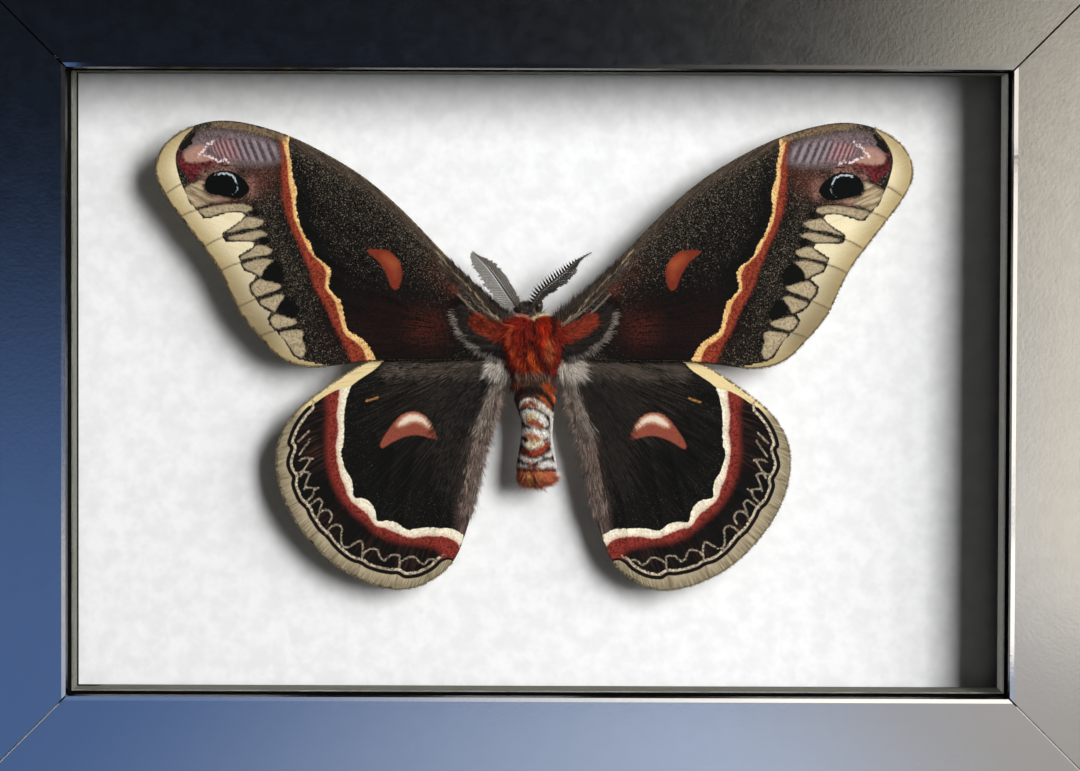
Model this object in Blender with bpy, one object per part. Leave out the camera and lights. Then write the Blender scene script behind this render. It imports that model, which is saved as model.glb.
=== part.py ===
"""Cecropia moth mounted in a glazed shadow-box case, life size.

Frame of reference: +X to the moth's right wing as the case is looked at, +Z up, and the
glass faces -Y. The origin is the middle of the case's footprint, on the surface it stands on.
Every number below is in millimetres; meshes are scaled to metres when their object is made.
The moth's own plan coordinates are (a, b): a is the distance from its mid-line, b runs
from the middle of the thorax towards the head.
"""

import math

import bmesh
import bpy
from mathutils import Matrix, Vector

MM = 0.001
GAP = 0.3                     # clearance left between neighbouring pieces

# The case.
CASE_WIDTH = 204.4
CASE_HEIGHT = 148.5
CASE_DEPTH = 32.0
RAIL_FACE = 19.0              # width of a rail seen from the front
EDGE_ROUND = 1.2              # round on the outer front edge
LIP_BEVEL = 1.0               # bevel on the inner front edge
LIP_DEPTH = 6.0               # from the front face to the ledge the glass lies on
LEDGE = 3.0                   # how far the lip overhangs the glass
MITRE_GAP = 0.22              # taken off each rail's end, along the rail
FIT = 0.4                     # play between a panel's edge and the rails
FRONT_Y = -CASE_DEPTH / 2
REAR_Y = CASE_DEPTH / 2
OPENING_WIDTH = CASE_WIDTH - 2 * RAIL_FACE
OPENING_HEIGHT = CASE_HEIGHT - 2 * RAIL_FACE
PANEL_WIDTH = OPENING_WIDTH + 2 * (LEDGE - FIT)
PANEL_HEIGHT = OPENING_HEIGHT + 2 * (LEDGE - FIT)

# What is stacked behind the lip, front to back.
GLASS_Y = FRONT_Y + LIP_DEPTH + GAP
GLASS_THICK = 2.0
SPACER_Y = GLASS_Y + GLASS_THICK + GAP
SHIM_THICK = 3.0
SHIM_RECESS = 0.6             # how much further back the shim's inner wall lies
BACKING_Y = 4.0               # paper face that the moth is mounted over
BACKING_THICK = 3.0
SHIM_Y = BACKING_Y - GAP - SHIM_THICK
BACK_PANEL_Y = BACKING_Y + BACKING_THICK + GAP
BACK_PANEL_THICK = 2.5
BACK_FACE_Y = BACK_PANEL_Y + BACK_PANEL_THICK
PANEL_EDGE = 0.3              # small bevel round every flat panel

# Metal fittings on the back.
TAB_WIDTH = 8.0
TAB_REACH = 10.0
TAB_RISE = 4.0
TAB_THICK = 0.5
TAB_PLACES_LONG = (-62.0, 0.0, 62.0)
TAB_PLACES_SHORT = (-28.0, 28.0)
HANGER_WIDTH = 42.0
HANGER_HEIGHT = 7.0
HANGER_THICK = 0.7
HANGER_RISE = 1.4             # the toothed middle stands off the panel by this
HANGER_TEETH = 11
HANGER_TOOTH = 1.3
HANGER_Z = 112.0
NAIL_RADIUS = 1.7
NAIL_HEIGHT = 0.7

# The moth: where its thorax sits in the case, and its wing plane.
MOTH_X = -0.95
MOTH_Z = 80.9
WING_Y = -4.0                 # forewing mid-surface at the thorax
WING_THICK = 0.7
TIP_LIFT = 0.9                # how far the forewing tip rises towards the glass
WING_SPAN_HALF = 67.8
HINDWING_DROP = 1.1           # the hindwing lies this far behind the forewing

THORAX_LENGTH = 10.6
THORAX_WIDTH = 9.8
THORAX_DEPTH = 8.6
THORAX_Y = -2.7
THORAX_SQUARENESS = 2.7

HEAD_X = -1.1
HEAD_Y = -2.2
HEAD_WIDTH = 3.0
HEAD_DEPTH = 4.8
HEAD_REAR = THORAX_LENGTH / 2 + GAP
HEAD_LENGTH = 2.7
EYE_RADIUS = 1.35
EYE_BULGE = 1.0
EYE_Y = -2.3

ANTENNA_Y = -5.25
ANTENNA_THICK = 0.6
ANTENNAE = {
    "antenna_left": {"base": (-2.5, 7.5), "tip": (-10.9, 16.8), "width": 4.3},
    "antenna_right": {"base": (0.2, 7.5), "tip": (10.3, 16.8), "width": 3.4},
}

# Abdomen stations: b, sideways offset, half width, half depth, middle's Y.
ABDOMEN_BASE = (
    (-5.6, -0.1, 3.8, 3.0, -2.3),
    (-6.3, -0.1, 4.1, 3.4, -2.5),
    (-7.6, -0.05, 4.15, 3.6, -2.7),
    (-8.9, 0.1, 4.1, 3.6, -2.9),
)
ABDOMEN = (
    (-9.2, 0.15, 4.05, 3.6, -2.9),
    (-11.2, 0.4, 3.75, 3.55, -3.1),
    (-13.6, 0.65, 3.25, 3.5, -3.2),
    (-16.0, 0.6, 3.15, 3.45, -3.2),
    (-18.4, 0.6, 3.4, 3.45, -3.1),
    (-20.4, 0.6, 3.75, 3.4, -2.9),
    (-21.9, 0.6, 4.0, 3.3, -2.75),
)
ABDOMEN_TIP = (
    (-22.2, 0.6, 4.0, 3.25, -2.7),
    (-23.4, 0.6, 3.85, 3.0, -2.6),
    (-24.5, 0.6, 3.3, 2.4, -2.5),
    (-25.2, 0.6, 2.4, 1.6, -2.4),
)

# Wing margins of the right side, from the shoulder round to the inner corner.
FOREWING_MARGIN = (
    (6.0, 6.8), (14.1, 14.3), (22.7, 23.2), (29.9, 29.5), (37.1, 34.0), (44.2, 37.4),
    (51.4, 39.5), (57.0, 39.9), (62.2, 38.5), (66.3, 35.4), (67.8, 31.1), (66.1, 26.6),
    (61.7, 20.6), (56.5, 13.5), (52.8, 5.9), (49.0, 1.1), (45.1, -2.6), (39.5, -4.1),
    (28.6, -3.0), (17.0, -2.9), (8.4, -2.6),
)
HINDWING_MARGIN = (
    (8.0, 0.6), (16.0, 0.4), (24.0, -0.6), (29.6, -3.0), (36.8, -7.4), (43.8, -13.5),
    (46.3, -21.0), (43.6, -30.7), (35.2, -40.1), (23.7, -44.2), (14.9, -39.8), (11.1, -30.5),
    (9.7, -24.2), (8.4, -17.1), (7.2, -10.8), (6.2, -7.4),
)
FOREWING_MIDDLE = (38.0, 14.0)
HINDWING_MIDDLE = (25.0, -19.0)
FOREWING_BASE = (4.5, -2.2)   # b of the wing's root on the thorax, front and rear
HINDWING_BASE = (0.0, -4.3)

# Legs folded under the thorax: knee and ankle points of the right side, in (a, b).
LEG_Y = 2.6
LEG_RADII = (0.45, 0.42, 0.34, 0.25)
LEGS = {
    "leg_fore": ((1.7, 1.8), (2.9, 4.3), (4.4, 2.6), (5.9, 5.4)),
    "leg_middle": ((1.7, -0.4), (5.2, 0.6), (7.4, -2.4), (9.4, -4.6)),
    "leg_hind": ((1.7, -2.3), (4.6, -2.7), (5.6, -6.8), (7.0, -10.2)),
}
CORK_HALF = 0.8               # half width of the cork pillar the thorax is glued to


# Materials.

def make_material(name, color, roughness, metallic=0.0, transmission=0.0):
    material = bpy.data.materials.new(name)
    material.use_nodes = True
    shader = material.node_tree.nodes["Principled BSDF"]
    shader.inputs["Base Color"].default_value = (*color, 1.0)
    shader.inputs["Roughness"].default_value = roughness
    shader.inputs["Metallic"].default_value = metallic
    shader.inputs["Transmission Weight"].default_value = transmission
    return material


def make_materials():
    looks = {
        "frame_lacquer": ((0.030, 0.032, 0.036), 0.35),
        "glass": ((0.95, 0.97, 0.96), 0.02, 0.0, 1.0),
        "spacer_strip": ((0.10, 0.10, 0.09), 0.6),
        "black_card": ((0.01, 0.01, 0.01), 0.8),
        "backing_paper": ((0.83, 0.83, 0.81), 0.9),
        "hardboard": ((0.16, 0.10, 0.055), 0.8),
        "steel": ((0.55, 0.55, 0.55), 0.35, 1.0),
        "cork": ((0.42, 0.27, 0.14), 0.9),
        "moth_head": ((0.05, 0.035, 0.03), 0.8),
        "moth_eye": ((0.012, 0.010, 0.010), 0.2),
        "moth_antenna": ((0.12, 0.09, 0.07), 0.6),
        "moth_thorax": ((0.38, 0.05, 0.015), 0.8),
        "moth_abdomen": ((0.55, 0.30, 0.20), 0.8),
        "moth_forewing": ((0.06, 0.045, 0.04), 0.7),
        "moth_hindwing": ((0.05, 0.035, 0.03), 0.7),
        "moth_leg": ((0.25, 0.06, 0.03), 0.7),
    }
    return {name: make_material(name, *look) for name, look in looks.items()}


# Mesh helpers.

def make_object(name, mesh_builder, material, location=(0.0, 0.0, 0.0), rotation_y=0.0,
                parent=None, sharp_angle=35.0):
    """Turn a bmesh in millimetres into a named object in metres."""
    bmesh.ops.recalc_face_normals(mesh_builder, faces=mesh_builder.faces)
    bmesh.ops.scale(mesh_builder, vec=(MM, MM, MM), verts=mesh_builder.verts)
    mesh = bpy.data.meshes.new(name)
    mesh_builder.to_mesh(mesh)
    mesh_builder.free()
    mesh.materials.append(material)
    mesh.shade_smooth()
    mesh.set_sharp_from_angle(angle=math.radians(sharp_angle))
    made = bpy.data.objects.new(name, mesh)
    made.location = Vector(location) * MM
    made.rotation_euler = (0.0, rotation_y, 0.0)
    made.parent = parent
    bpy.context.scene.collection.objects.link(made)
    return made


def smooth_curve(points, steps):
    """Open Catmull-Rom curve through the points, with the given number of steps per span."""
    last = len(points) - 1
    curve = []
    for span in range(last):
        p0, p1, p2, p3 = (points[min(max(span + k, 0), last)] for k in (-1, 0, 1, 2))
        for step in range(steps):
            t = step / steps
            curve.append(tuple(
                0.5 * (2 * q1 + (q2 - q0) * t + (2 * q0 - 5 * q1 + 4 * q2 - q3) * t ** 2
                       + (3 * q1 - q0 - 3 * q2 + q3) * t ** 3)
                for q0, q1, q2, q3 in zip(p0, p1, p2, p3)))
    curve.append(tuple(points[-1]))
    return curve


def loft(rings, start_pole=None, end_pole=None):
    """Skin a list of equal rings; an end without a pole is closed by one flat face."""
    shape = bmesh.new()
    verts = [[shape.verts.new(point) for point in ring] for ring in rings]
    count = len(rings[0])
    for near, far in zip(verts, verts[1:]):
        for i in range(count):
            j = (i + 1) % count
            shape.faces.new((near[i], near[j], far[j], far[i]))
    for ring, pole in ((verts[0], start_pole), (verts[-1], end_pole)):
        if pole is None:
            shape.faces.new(ring)
            continue
        tip = shape.verts.new(pole)
        for i in range(count):
            shape.faces.new((ring[i], ring[(i + 1) % count], tip))
    return shape


def oval(middle, half_a, half_y, count, squareness=2.0):
    """Superellipse across the body: width along X, depth along Y, at one height Z."""
    points = []
    for i in range(count):
        angle = 2 * math.pi * (i + 0.5) / count
        cos, sin = math.cos(angle), math.sin(angle)
        x = middle[0] + half_a * math.copysign(abs(cos) ** (2 / squareness), cos)
        y = middle[1] + half_y * math.copysign(abs(sin) ** (2 / squareness), sin)
        points.append((x, y, middle[2]))
    return points


def super_oval_half(offset, half_length, half_width, squareness):
    """Half width of a superellipse at a distance from its middle."""
    share = min(abs(offset) / half_length, 1.0)
    return half_width * (1 - share ** squareness) ** (1 / squareness)


def block(size_x, y_near, y_far, size_z, middle_z, middle_x=0.0, edge=PANEL_EDGE):
    """Flat panel with a small bevel on all its edges."""
    shape = bmesh.new()
    bmesh.ops.create_cube(shape, size=1.0)
    thick = y_far - y_near
    bmesh.ops.scale(shape, vec=(size_x, thick, size_z), verts=shape.verts)
    bmesh.ops.translate(shape, vec=(middle_x, y_near + thick / 2, middle_z), verts=shape.verts)
    bmesh.ops.bevel(shape, geom=shape.edges[:], offset=edge, segments=1, affect="EDGES")
    return shape


# The case.

def rail_profile():
    """Cross-section of a rail: distance in from the case's side, and depth Y."""
    profile = [(0.0, REAR_Y)]
    for step in range(5):
        angle = math.radians(90 * step / 4)
        inward = EDGE_ROUND * (1 - math.cos(angle))
        profile.append((inward, FRONT_Y + EDGE_ROUND * (1 - math.sin(angle))))
    ledge_y = FRONT_Y + LIP_DEPTH
    profile += [
        (RAIL_FACE - LIP_BEVEL, FRONT_Y),
        (RAIL_FACE - 0.3 * LIP_BEVEL, FRONT_Y + 0.3 * LIP_BEVEL),
        (RAIL_FACE, FRONT_Y + LIP_BEVEL),
        (RAIL_FACE, ledge_y),
        (RAIL_FACE - LEDGE, ledge_y),
        (RAIL_FACE - LEDGE, REAR_Y),
    ]
    return profile


def rail(length):
    """One mitred rail: X along it, Z from its outer side inwards."""
    profile = rail_profile()
    ends = []
    for side in (-1, 1):
        ends.append([(side * (length / 2 - inward - MITRE_GAP), y, inward)
                     for inward, y in profile])
    return loft(ends)


def make_frame(materials):
    middle_z = CASE_HEIGHT / 2
    places = {
        "frame_bottom": (CASE_WIDTH, (0, 0, 0), 0.0),
        "frame_top": (CASE_WIDTH, (0, 0, CASE_HEIGHT), math.pi),
        "frame_left": (CASE_HEIGHT, (-CASE_WIDTH / 2, 0, middle_z), math.pi / 2),
        "frame_right": (CASE_HEIGHT, (CASE_WIDTH / 2, 0, middle_z), -math.pi / 2),
    }
    for name, (length, location, turn) in places.items():
        make_object(name, rail(length), materials["frame_lacquer"], location, turn)


def window_ring(inner_width, inner_height, y_near, y_far):
    """Rectangular ring that fills the rebate round the view."""
    shape = bmesh.new()
    loops = []
    for y in (y_near, y_far):
        for width, height in ((PANEL_WIDTH, PANEL_HEIGHT), (inner_width, inner_height)):
            corners = ((-1, -1), (1, -1), (1, 1), (-1, 1))
            loops.append([shape.verts.new((sx * width / 2, y, CASE_HEIGHT / 2 + sz * height / 2))
                          for sx, sz in corners])
    outer_near, inner_near, outer_far, inner_far = loops
    for first, second in ((outer_near, inner_near), (outer_far, inner_far),
                          (outer_near, outer_far), (inner_near, inner_far)):
        for i in range(4):
            j = (i + 1) % 4
            shape.faces.new((first[i], first[j], second[j], second[i]))
    return shape


def make_stack(materials):
    """Glass, spacer, shim, papered board and back panel, front to back."""
    middle_z = CASE_HEIGHT / 2
    panels = {
        "glass_pane": (GLASS_Y, GLASS_THICK, "glass"),
        "backing_board": (BACKING_Y, BACKING_THICK, "backing_paper"),
        "back_panel": (BACK_PANEL_Y, BACK_PANEL_THICK, "hardboard"),
    }
    for name, (y, thick, look) in panels.items():
        panel = block(PANEL_WIDTH, y, y + thick, PANEL_HEIGHT, middle_z)
        make_object(name, panel, materials[look])
    spacer = window_ring(OPENING_WIDTH, OPENING_HEIGHT, SPACER_Y, SHIM_Y - GAP)
    make_object("spacer_strip", spacer, materials["spacer_strip"])
    shim_width = OPENING_WIDTH + 2 * SHIM_RECESS
    shim_height = OPENING_HEIGHT + 2 * SHIM_RECESS
    shim = window_ring(shim_width, shim_height, SHIM_Y, SHIM_Y + SHIM_THICK)
    make_object("shim_strip", shim, materials["black_card"])


def panel_tab():
    """Bent steel point: one leg on the rail's inner wall, the other over the back panel."""
    foot = RAIL_FACE - LEDGE + GAP
    near = BACK_FACE_Y + GAP
    section = [
        (foot, near + TAB_RISE), (foot, near + TAB_THICK), (foot + 0.2, near + 0.15),
        (foot + TAB_THICK, near), (foot + TAB_REACH, near), (foot + TAB_REACH, near + TAB_THICK),
        (foot + TAB_THICK + 0.3, near + TAB_THICK), (foot + TAB_THICK, near + TAB_THICK + 0.3),
        (foot + TAB_THICK, near + TAB_RISE),
    ]
    return loft([[(side * TAB_WIDTH / 2, y, inward) for inward, y in section]
                 for side in (-1, 1)])


def make_tabs(materials):
    middle_z = CASE_HEIGHT / 2
    rails = (
        (TAB_PLACES_LONG, lambda along: (along, 0, 0), 0.0),
        (TAB_PLACES_LONG, lambda along: (along, 0, CASE_HEIGHT), math.pi),
        (TAB_PLACES_SHORT, lambda along: (-CASE_WIDTH / 2, 0, middle_z + along), math.pi / 2),
        (TAB_PLACES_SHORT, lambda along: (CASE_WIDTH / 2, 0, middle_z + along), -math.pi / 2),
    )
    number = 0
    for places, place, turn in rails:
        for along in places:
            number += 1
            make_object(f"panel_tab_{number}", panel_tab(), materials["steel"],
                        place(along), turn)


def make_hanger(materials):
    """Sawtooth hanger: flat nailed ends and a raised, toothed middle."""
    near = BACK_FACE_Y + GAP
    flat_end = 7.0
    ramp = 2.0
    toothed = HANGER_WIDTH - 2 * (flat_end + ramp)
    stations = [(-HANGER_WIDTH / 2, 0.0, 0.0), (-HANGER_WIDTH / 2 + flat_end, 0.0, 0.0)]
    for i in range(2 * HANGER_TEETH + 1):
        depth = HANGER_TOOTH if i % 2 else 0.0
        x = -toothed / 2 + toothed * i / (2 * HANGER_TEETH)
        stations.append((x, HANGER_RISE, depth))
    stations += [(HANGER_WIDTH / 2 - flat_end, 0.0, 0.0), (HANGER_WIDTH / 2, 0.0, 0.0)]
    rings = []
    for x, rise, tooth in stations:
        y_near, y_far = near + rise, near + rise + HANGER_THICK
        low, high = -HANGER_HEIGHT / 2 + tooth, HANGER_HEIGHT / 2
        rings.append([(x, y_near, low), (x, y_far, low), (x, y_far, high), (x, y_near, high)])
    make_object("sawtooth_hanger", loft(rings), materials["steel"], (0, 0, HANGER_Z))
    for name, side in (("hanger_nail_left", -1), ("hanger_nail_right", 1)):
        base = near + HANGER_THICK + GAP
        rings = []
        for share in (0.0, 0.45, 0.8):
            radius = NAIL_RADIUS * math.sqrt(1 - share ** 2)
            rings.append([(radius * math.cos(angle), base + NAIL_HEIGHT * share,
                           radius * math.sin(angle))
                          for angle in (2 * math.pi * k / 14 for k in range(14))])
        nail = loft(rings, None, (0.0, base + NAIL_HEIGHT, 0.0))
        x = side * (HANGER_WIDTH / 2 - flat_end / 2)
        make_object(name, nail, materials["steel"], (x, 0, HANGER_Z))


# The moth's body.

def body_solid(length, width, depth, middle, squareness, stations=9, count=24):
    """Rounded solid along Z with superellipse outlines in every direction."""
    rings = []
    for i in range(stations):
        angle = math.pi * (i + 0.5) / stations - math.pi / 2
        offset = math.sin(angle) * length / 2
        share = super_oval_half(offset, length / 2, 1.0, squareness)
        centre = (middle[0], middle[1], middle[2] + offset)
        rings.append(oval(centre, width / 2 * share, depth / 2 * share, count, squareness))
    start = (middle[0], middle[1], middle[2] - length / 2)
    end = (middle[0], middle[1], middle[2] + length / 2)
    return loft(rings, start, end)


def make_head(materials, moth):
    middle = (HEAD_X, HEAD_Y, HEAD_REAR + HEAD_LENGTH / 2)
    rings = []
    for share in (-1.0, -0.8, -0.4, 0.1, 0.5, 0.8, 1.0):
        bulge = super_oval_half(share * 0.9, 1.0, 1.0, 2.4)
        narrow = 1.0 - 0.12 * max(share, 0.0) ** 2
        centre = (middle[0], middle[1], middle[2] + share * HEAD_LENGTH / 2)
        rings.append(oval(centre, HEAD_WIDTH / 2 * narrow, HEAD_DEPTH / 2 * bulge, 20, 2.6))
    make_object("head", loft(rings), materials["moth_head"], parent=moth)
    for name, side in (("eye_left", -1), ("eye_right", 1)):
        base = HEAD_WIDTH / 2 + GAP
        rings = []
        for share in (0.0, 0.3, 0.6, 0.85):
            radius = EYE_RADIUS * math.sqrt(1 - share ** 2)
            x = HEAD_X + side * (base + EYE_BULGE * share)
            rings.append([(x, EYE_Y + radius * math.cos(angle), middle[2] + radius * math.sin(angle))
                          for angle in (2 * math.pi * k / 16 for k in range(16))])
        pole = (HEAD_X + side * (base + EYE_BULGE), EYE_Y, middle[2])
        make_object(name, loft(rings, None, pole), materials["moth_eye"], parent=moth)


def make_antenna(name, base, tip, width, material, moth):
    """Feather-shaped blade: thin, widest a third of the way up, pointed at the tip."""
    stem = Vector((tip[0] - base[0], 0.0, tip[1] - base[1]))
    length = stem.length
    across = Vector((stem.z, 0.0, -stem.x)) / length
    rings = []
    for i in range(13):
        share = i / 13
        half = width / 2 * (0.22 + 0.78 * math.sin(math.pi * share ** 0.62) ** 0.7)
        thick = ANTENNA_THICK / 2 * (1 - 0.3 * share)
        centre = Vector((base[0], ANTENNA_Y + 0.5 * share, base[1])) + stem * share
        rings.append([centre + across * half * math.cos(angle)
                      + Vector((0.0, thick * math.sin(angle), 0.0))
                      for angle in (2 * math.pi * k / 10 for k in range(10))])
    end = Vector((tip[0], ANTENNA_Y + 0.5, tip[1]))
    make_object(name, loft(rings, None, end), material, parent=moth)


def abdomen_length(stations, round_end=False):
    """A length of the abdomen between two flat cuts, or closed by a rounded end."""
    rings = [oval((offset, y, b), half_a, half_y, 24, 2.2)
             for b, offset, half_a, half_y, y in smooth_curve(stations, 2)]
    last = stations[-1]
    pole = (last[1], last[4], last[0] - 0.35) if round_end else None
    return loft(rings, None, pole)


def make_body(materials, moth):
    middle = (0.0, THORAX_Y, 0.0)
    thorax = body_solid(THORAX_LENGTH, THORAX_WIDTH, THORAX_DEPTH, middle, THORAX_SQUARENESS)
    make_object("thorax", thorax, materials["moth_thorax"], parent=moth)
    make_head(materials, moth)
    for name, look in ANTENNAE.items():
        make_antenna(name, look["base"], look["tip"], look["width"],
                     materials["moth_antenna"], moth)
    lengths = {"abdomen_base": (ABDOMEN_BASE, False), "abdomen": (ABDOMEN, False),
               "abdomen_tip": (ABDOMEN_TIP, True)}
    for name, (stations, rounded) in lengths.items():
        make_object(name, abdomen_length(stations, rounded), materials["moth_abdomen"],
                    parent=moth)


# The wings.

def root_curve(front, rear, steps=4):
    """The wing's root: it follows the thorax's side with a small gap, rear to front."""
    half_width = THORAX_WIDTH / 2 + GAP
    half_length = THORAX_LENGTH / 2 + GAP
    points = []
    for i in range(steps + 1):
        b = rear + (front - rear) * i / steps
        points.append((super_oval_half(b, half_length, half_width, THORAX_SQUARENESS), b))
    return points


def wing_height(a, drop):
    """Y of the wing's middle surface: flat at the body, lifted towards the tip."""
    return WING_Y + drop - TIP_LIFT * (a / WING_SPAN_HALF) ** 2


def wing_solid(margin, base, middle, drop, side):
    """Thin closed plate of the wing's outline, in three rings round its middle."""
    outline = smooth_curve(margin, 3) + root_curve(*base)
    shares = (0.36, 0.7, 1.0)
    rings = []
    for face in (-1, 1):
        for share in shares:
            thick = WING_THICK * (1.0 - 0.2 * share)
            ring = []
            for a, b in outline:
                u = middle[0] + (a - middle[0]) * share
                v = middle[1] + (b - middle[1]) * share
                ring.append((side * u, wing_height(u, drop) + face * thick / 2, v))
            rings.append(ring)
    front, rear = rings[:3], rings[3:]
    y = wing_height(middle[0], drop)
    poles = [(side * middle[0], y + face * WING_THICK / 2, middle[1]) for face in (-1, 1)]
    return loft(front + rear[::-1], poles[0], poles[1])


def make_wings(materials, moth):
    wings = {
        "forewing": (FOREWING_MARGIN, FOREWING_BASE, FOREWING_MIDDLE, 0.0),
        "hindwing": (HINDWING_MARGIN, HINDWING_BASE, HINDWING_MIDDLE, HINDWING_DROP),
    }
    for kind, (margin, base, middle, drop) in wings.items():
        for side_name, side in (("left", -1), ("right", 1)):
            solid = wing_solid(margin, base, middle, drop, side)
            make_object(f"{kind}_{side_name}", solid, materials[f"moth_{kind}"], parent=moth)


# Legs and the pillar that carries the moth.

def leg_solid(joints, side):
    """Tapering six-sided limb through its joints, lying flat under the thorax."""
    points = [Vector((side * a, LEG_Y, b)) for a, b in joints]
    rings = []
    for i, point in enumerate(points):
        before = (point - points[i - 1]).normalized() if i else None
        after = (points[i + 1] - point).normalized() if i + 1 < len(points) else None
        if before is None or after is None:
            direction = before or after
            stretch = 1.0
        else:
            direction = (before + after).normalized()
            stretch = min(1.0 / max(direction.dot(after), 0.35), 2.2)
        across = Vector((direction.z, 0.0, -direction.x))
        radius = LEG_RADII[i]
        rings.append([point + across * radius * stretch * math.cos(angle)
                      + Vector((0.0, radius * math.sin(angle), 0.0))
                      for angle in (2 * math.pi * k / 6 for k in range(6))])
    return loft(rings)


def make_legs(materials, moth):
    for name, joints in LEGS.items():
        for side_name, side in (("left", -1), ("right", 1)):
            make_object(f"{name}_{side_name}", leg_solid(joints, side),
                        materials["moth_leg"], parent=moth)


def make_pillar(materials, moth):
    near = THORAX_Y + THORAX_DEPTH / 2 + GAP
    pillar = block(2 * CORK_HALF, near, BACKING_Y - GAP, 2 * CORK_HALF, 0.0, edge=0.15)
    make_object("cork_pillar", pillar, materials["cork"], parent=moth)


def build():
    for old in list(bpy.data.objects):
        bpy.data.objects.remove(old, do_unlink=True)
    materials = make_materials()
    make_frame(materials)
    make_stack(materials)
    make_tabs(materials)
    make_hanger(materials)
    moth = bpy.data.objects.new("moth", None)
    moth.matrix_world = Matrix.Translation(Vector((MOTH_X, 0.0, MOTH_Z)) * MM)
    bpy.context.scene.collection.objects.link(moth)
    make_body(materials, moth)
    make_wings(materials, moth)
    make_legs(materials, moth)
    make_pillar(materials, moth)


build()
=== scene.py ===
"""Looks of a cecropia moth mounted in a glazed shadow-box case, life size.

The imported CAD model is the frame: +X to the moth's right wing as the case is looked at, +Z up,
glass to -Y, the origin in the middle of the case's footprint. Lengths are in millimetres unless
a name says otherwise. The moth's plan coordinates are (a, b): a runs outwards from its
mid-line and b from the middle of the thorax towards the head. Markings are placed by pixels of
the photograph, on its right wings, and plan() turns those into (a, b).
"""

import math

import bpy
import numpy as np
from mathutils import Matrix, Vector
from mathutils.geometry import delaunay_2d_cdt


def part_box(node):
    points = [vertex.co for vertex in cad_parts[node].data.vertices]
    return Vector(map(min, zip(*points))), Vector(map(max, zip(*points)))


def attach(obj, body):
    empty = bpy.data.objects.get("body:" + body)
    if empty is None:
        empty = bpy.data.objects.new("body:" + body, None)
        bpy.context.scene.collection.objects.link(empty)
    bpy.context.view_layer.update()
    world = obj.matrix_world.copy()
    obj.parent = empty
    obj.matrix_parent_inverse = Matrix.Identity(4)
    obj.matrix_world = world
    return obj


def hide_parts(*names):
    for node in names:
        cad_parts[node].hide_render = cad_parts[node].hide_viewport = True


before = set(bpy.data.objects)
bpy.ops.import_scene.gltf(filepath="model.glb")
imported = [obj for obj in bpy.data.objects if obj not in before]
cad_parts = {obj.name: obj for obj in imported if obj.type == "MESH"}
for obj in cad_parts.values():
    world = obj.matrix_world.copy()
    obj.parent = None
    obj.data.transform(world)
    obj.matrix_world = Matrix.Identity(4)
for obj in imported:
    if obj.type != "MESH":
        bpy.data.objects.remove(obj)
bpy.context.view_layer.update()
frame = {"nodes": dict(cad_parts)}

MM = 0.001

# Scale of the photograph at the wings, and the pixel of the thorax's middle.
PIXEL = 0.1795
MIDDLE_PX = (533.5, 345.0)


def node_box(name):
    """Lowest and highest corner of a CAD node in millimetres."""
    low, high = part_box(name)
    return np.array(low) / MM, np.array(high) / MM


SIDES = (("left", -1), ("right", 1))
RAILS = ("frame_top", "frame_bottom", "frame_left", "frame_right")
FRONT = (0.0, -1.0, 0.0)      # towards the glass
THORAX_LOW, THORAX_HIGH = node_box("thorax")
MOTH_X, _, MOTH_Z = (THORAX_LOW + THORAX_HIGH) / 2
GLASS_Y = node_box("glass_pane")[0][1]
CASE_LOW, CASE_HIGH = node_box("frame_bottom")[0], node_box("frame_top")[1]
LIP_Y = CASE_LOW[1]
MIDDLE_Z = (CASE_LOW[2] + CASE_HIGH[2]) / 2


# Curves and distances.

def plan(places_px):
    """Pixel places on the right wings as (a, b)."""
    return (np.array(places_px, float) - MIDDLE_PX) * (PIXEL, -PIXEL)


def to_pixels(points):
    """Places (a, b) as pixel places on the right wings."""
    return points / (PIXEL, -PIXEL) + MIDDLE_PX


def looped(ring):
    """A ring of points as a line that ends where it starts."""
    return np.vstack([ring, ring[:1]])


def ramp(values, start, reach):
    """0 at a start and 1 at a reach beyond it, which may be a negative one."""
    return np.clip((values - start) / reach, 0, 1)


def smooth(points, steps=6, closed=False):
    """Catmull-Rom curve through the points."""
    points = np.asarray(points, float)
    count = len(points)
    spans = np.arange(count if closed else count - 1)
    corners = []
    for shift in (-1, 0, 1, 2):
        places = spans + shift
        places = places % count if closed else np.clip(places, 0, count - 1)
        corners.append(points[places][:, None])
    p0, p1, p2, p3 = corners
    t = (np.arange(steps) / steps)[None, :, None]
    curve = 0.5 * (2 * p1 + (p2 - p0) * t + (2 * p0 - 5 * p1 + 4 * p2 - p3) * t ** 2
                   + (3 * p1 - p0 - 3 * p2 + p3) * t ** 3)
    curve = curve.reshape(-1, points.shape[1])
    return curve if closed else np.vstack([curve, points[-1:]])


def even_steps(line, spacing, closed=False):
    """The line again, with points at equal steps near the spacing."""
    line = looped(line) if closed else line
    along = np.concatenate([[0], np.cumsum(np.linalg.norm(np.diff(line, axis=0), axis=1))])
    count = max(int(round(along[-1] / spacing)), 2)
    places = np.linspace(0, along[-1], count + 1)
    stepped = np.column_stack([np.interp(places, along, line[:, k]) for k in range(line.shape[1])])
    return stepped[:-1] if closed else stepped


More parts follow.
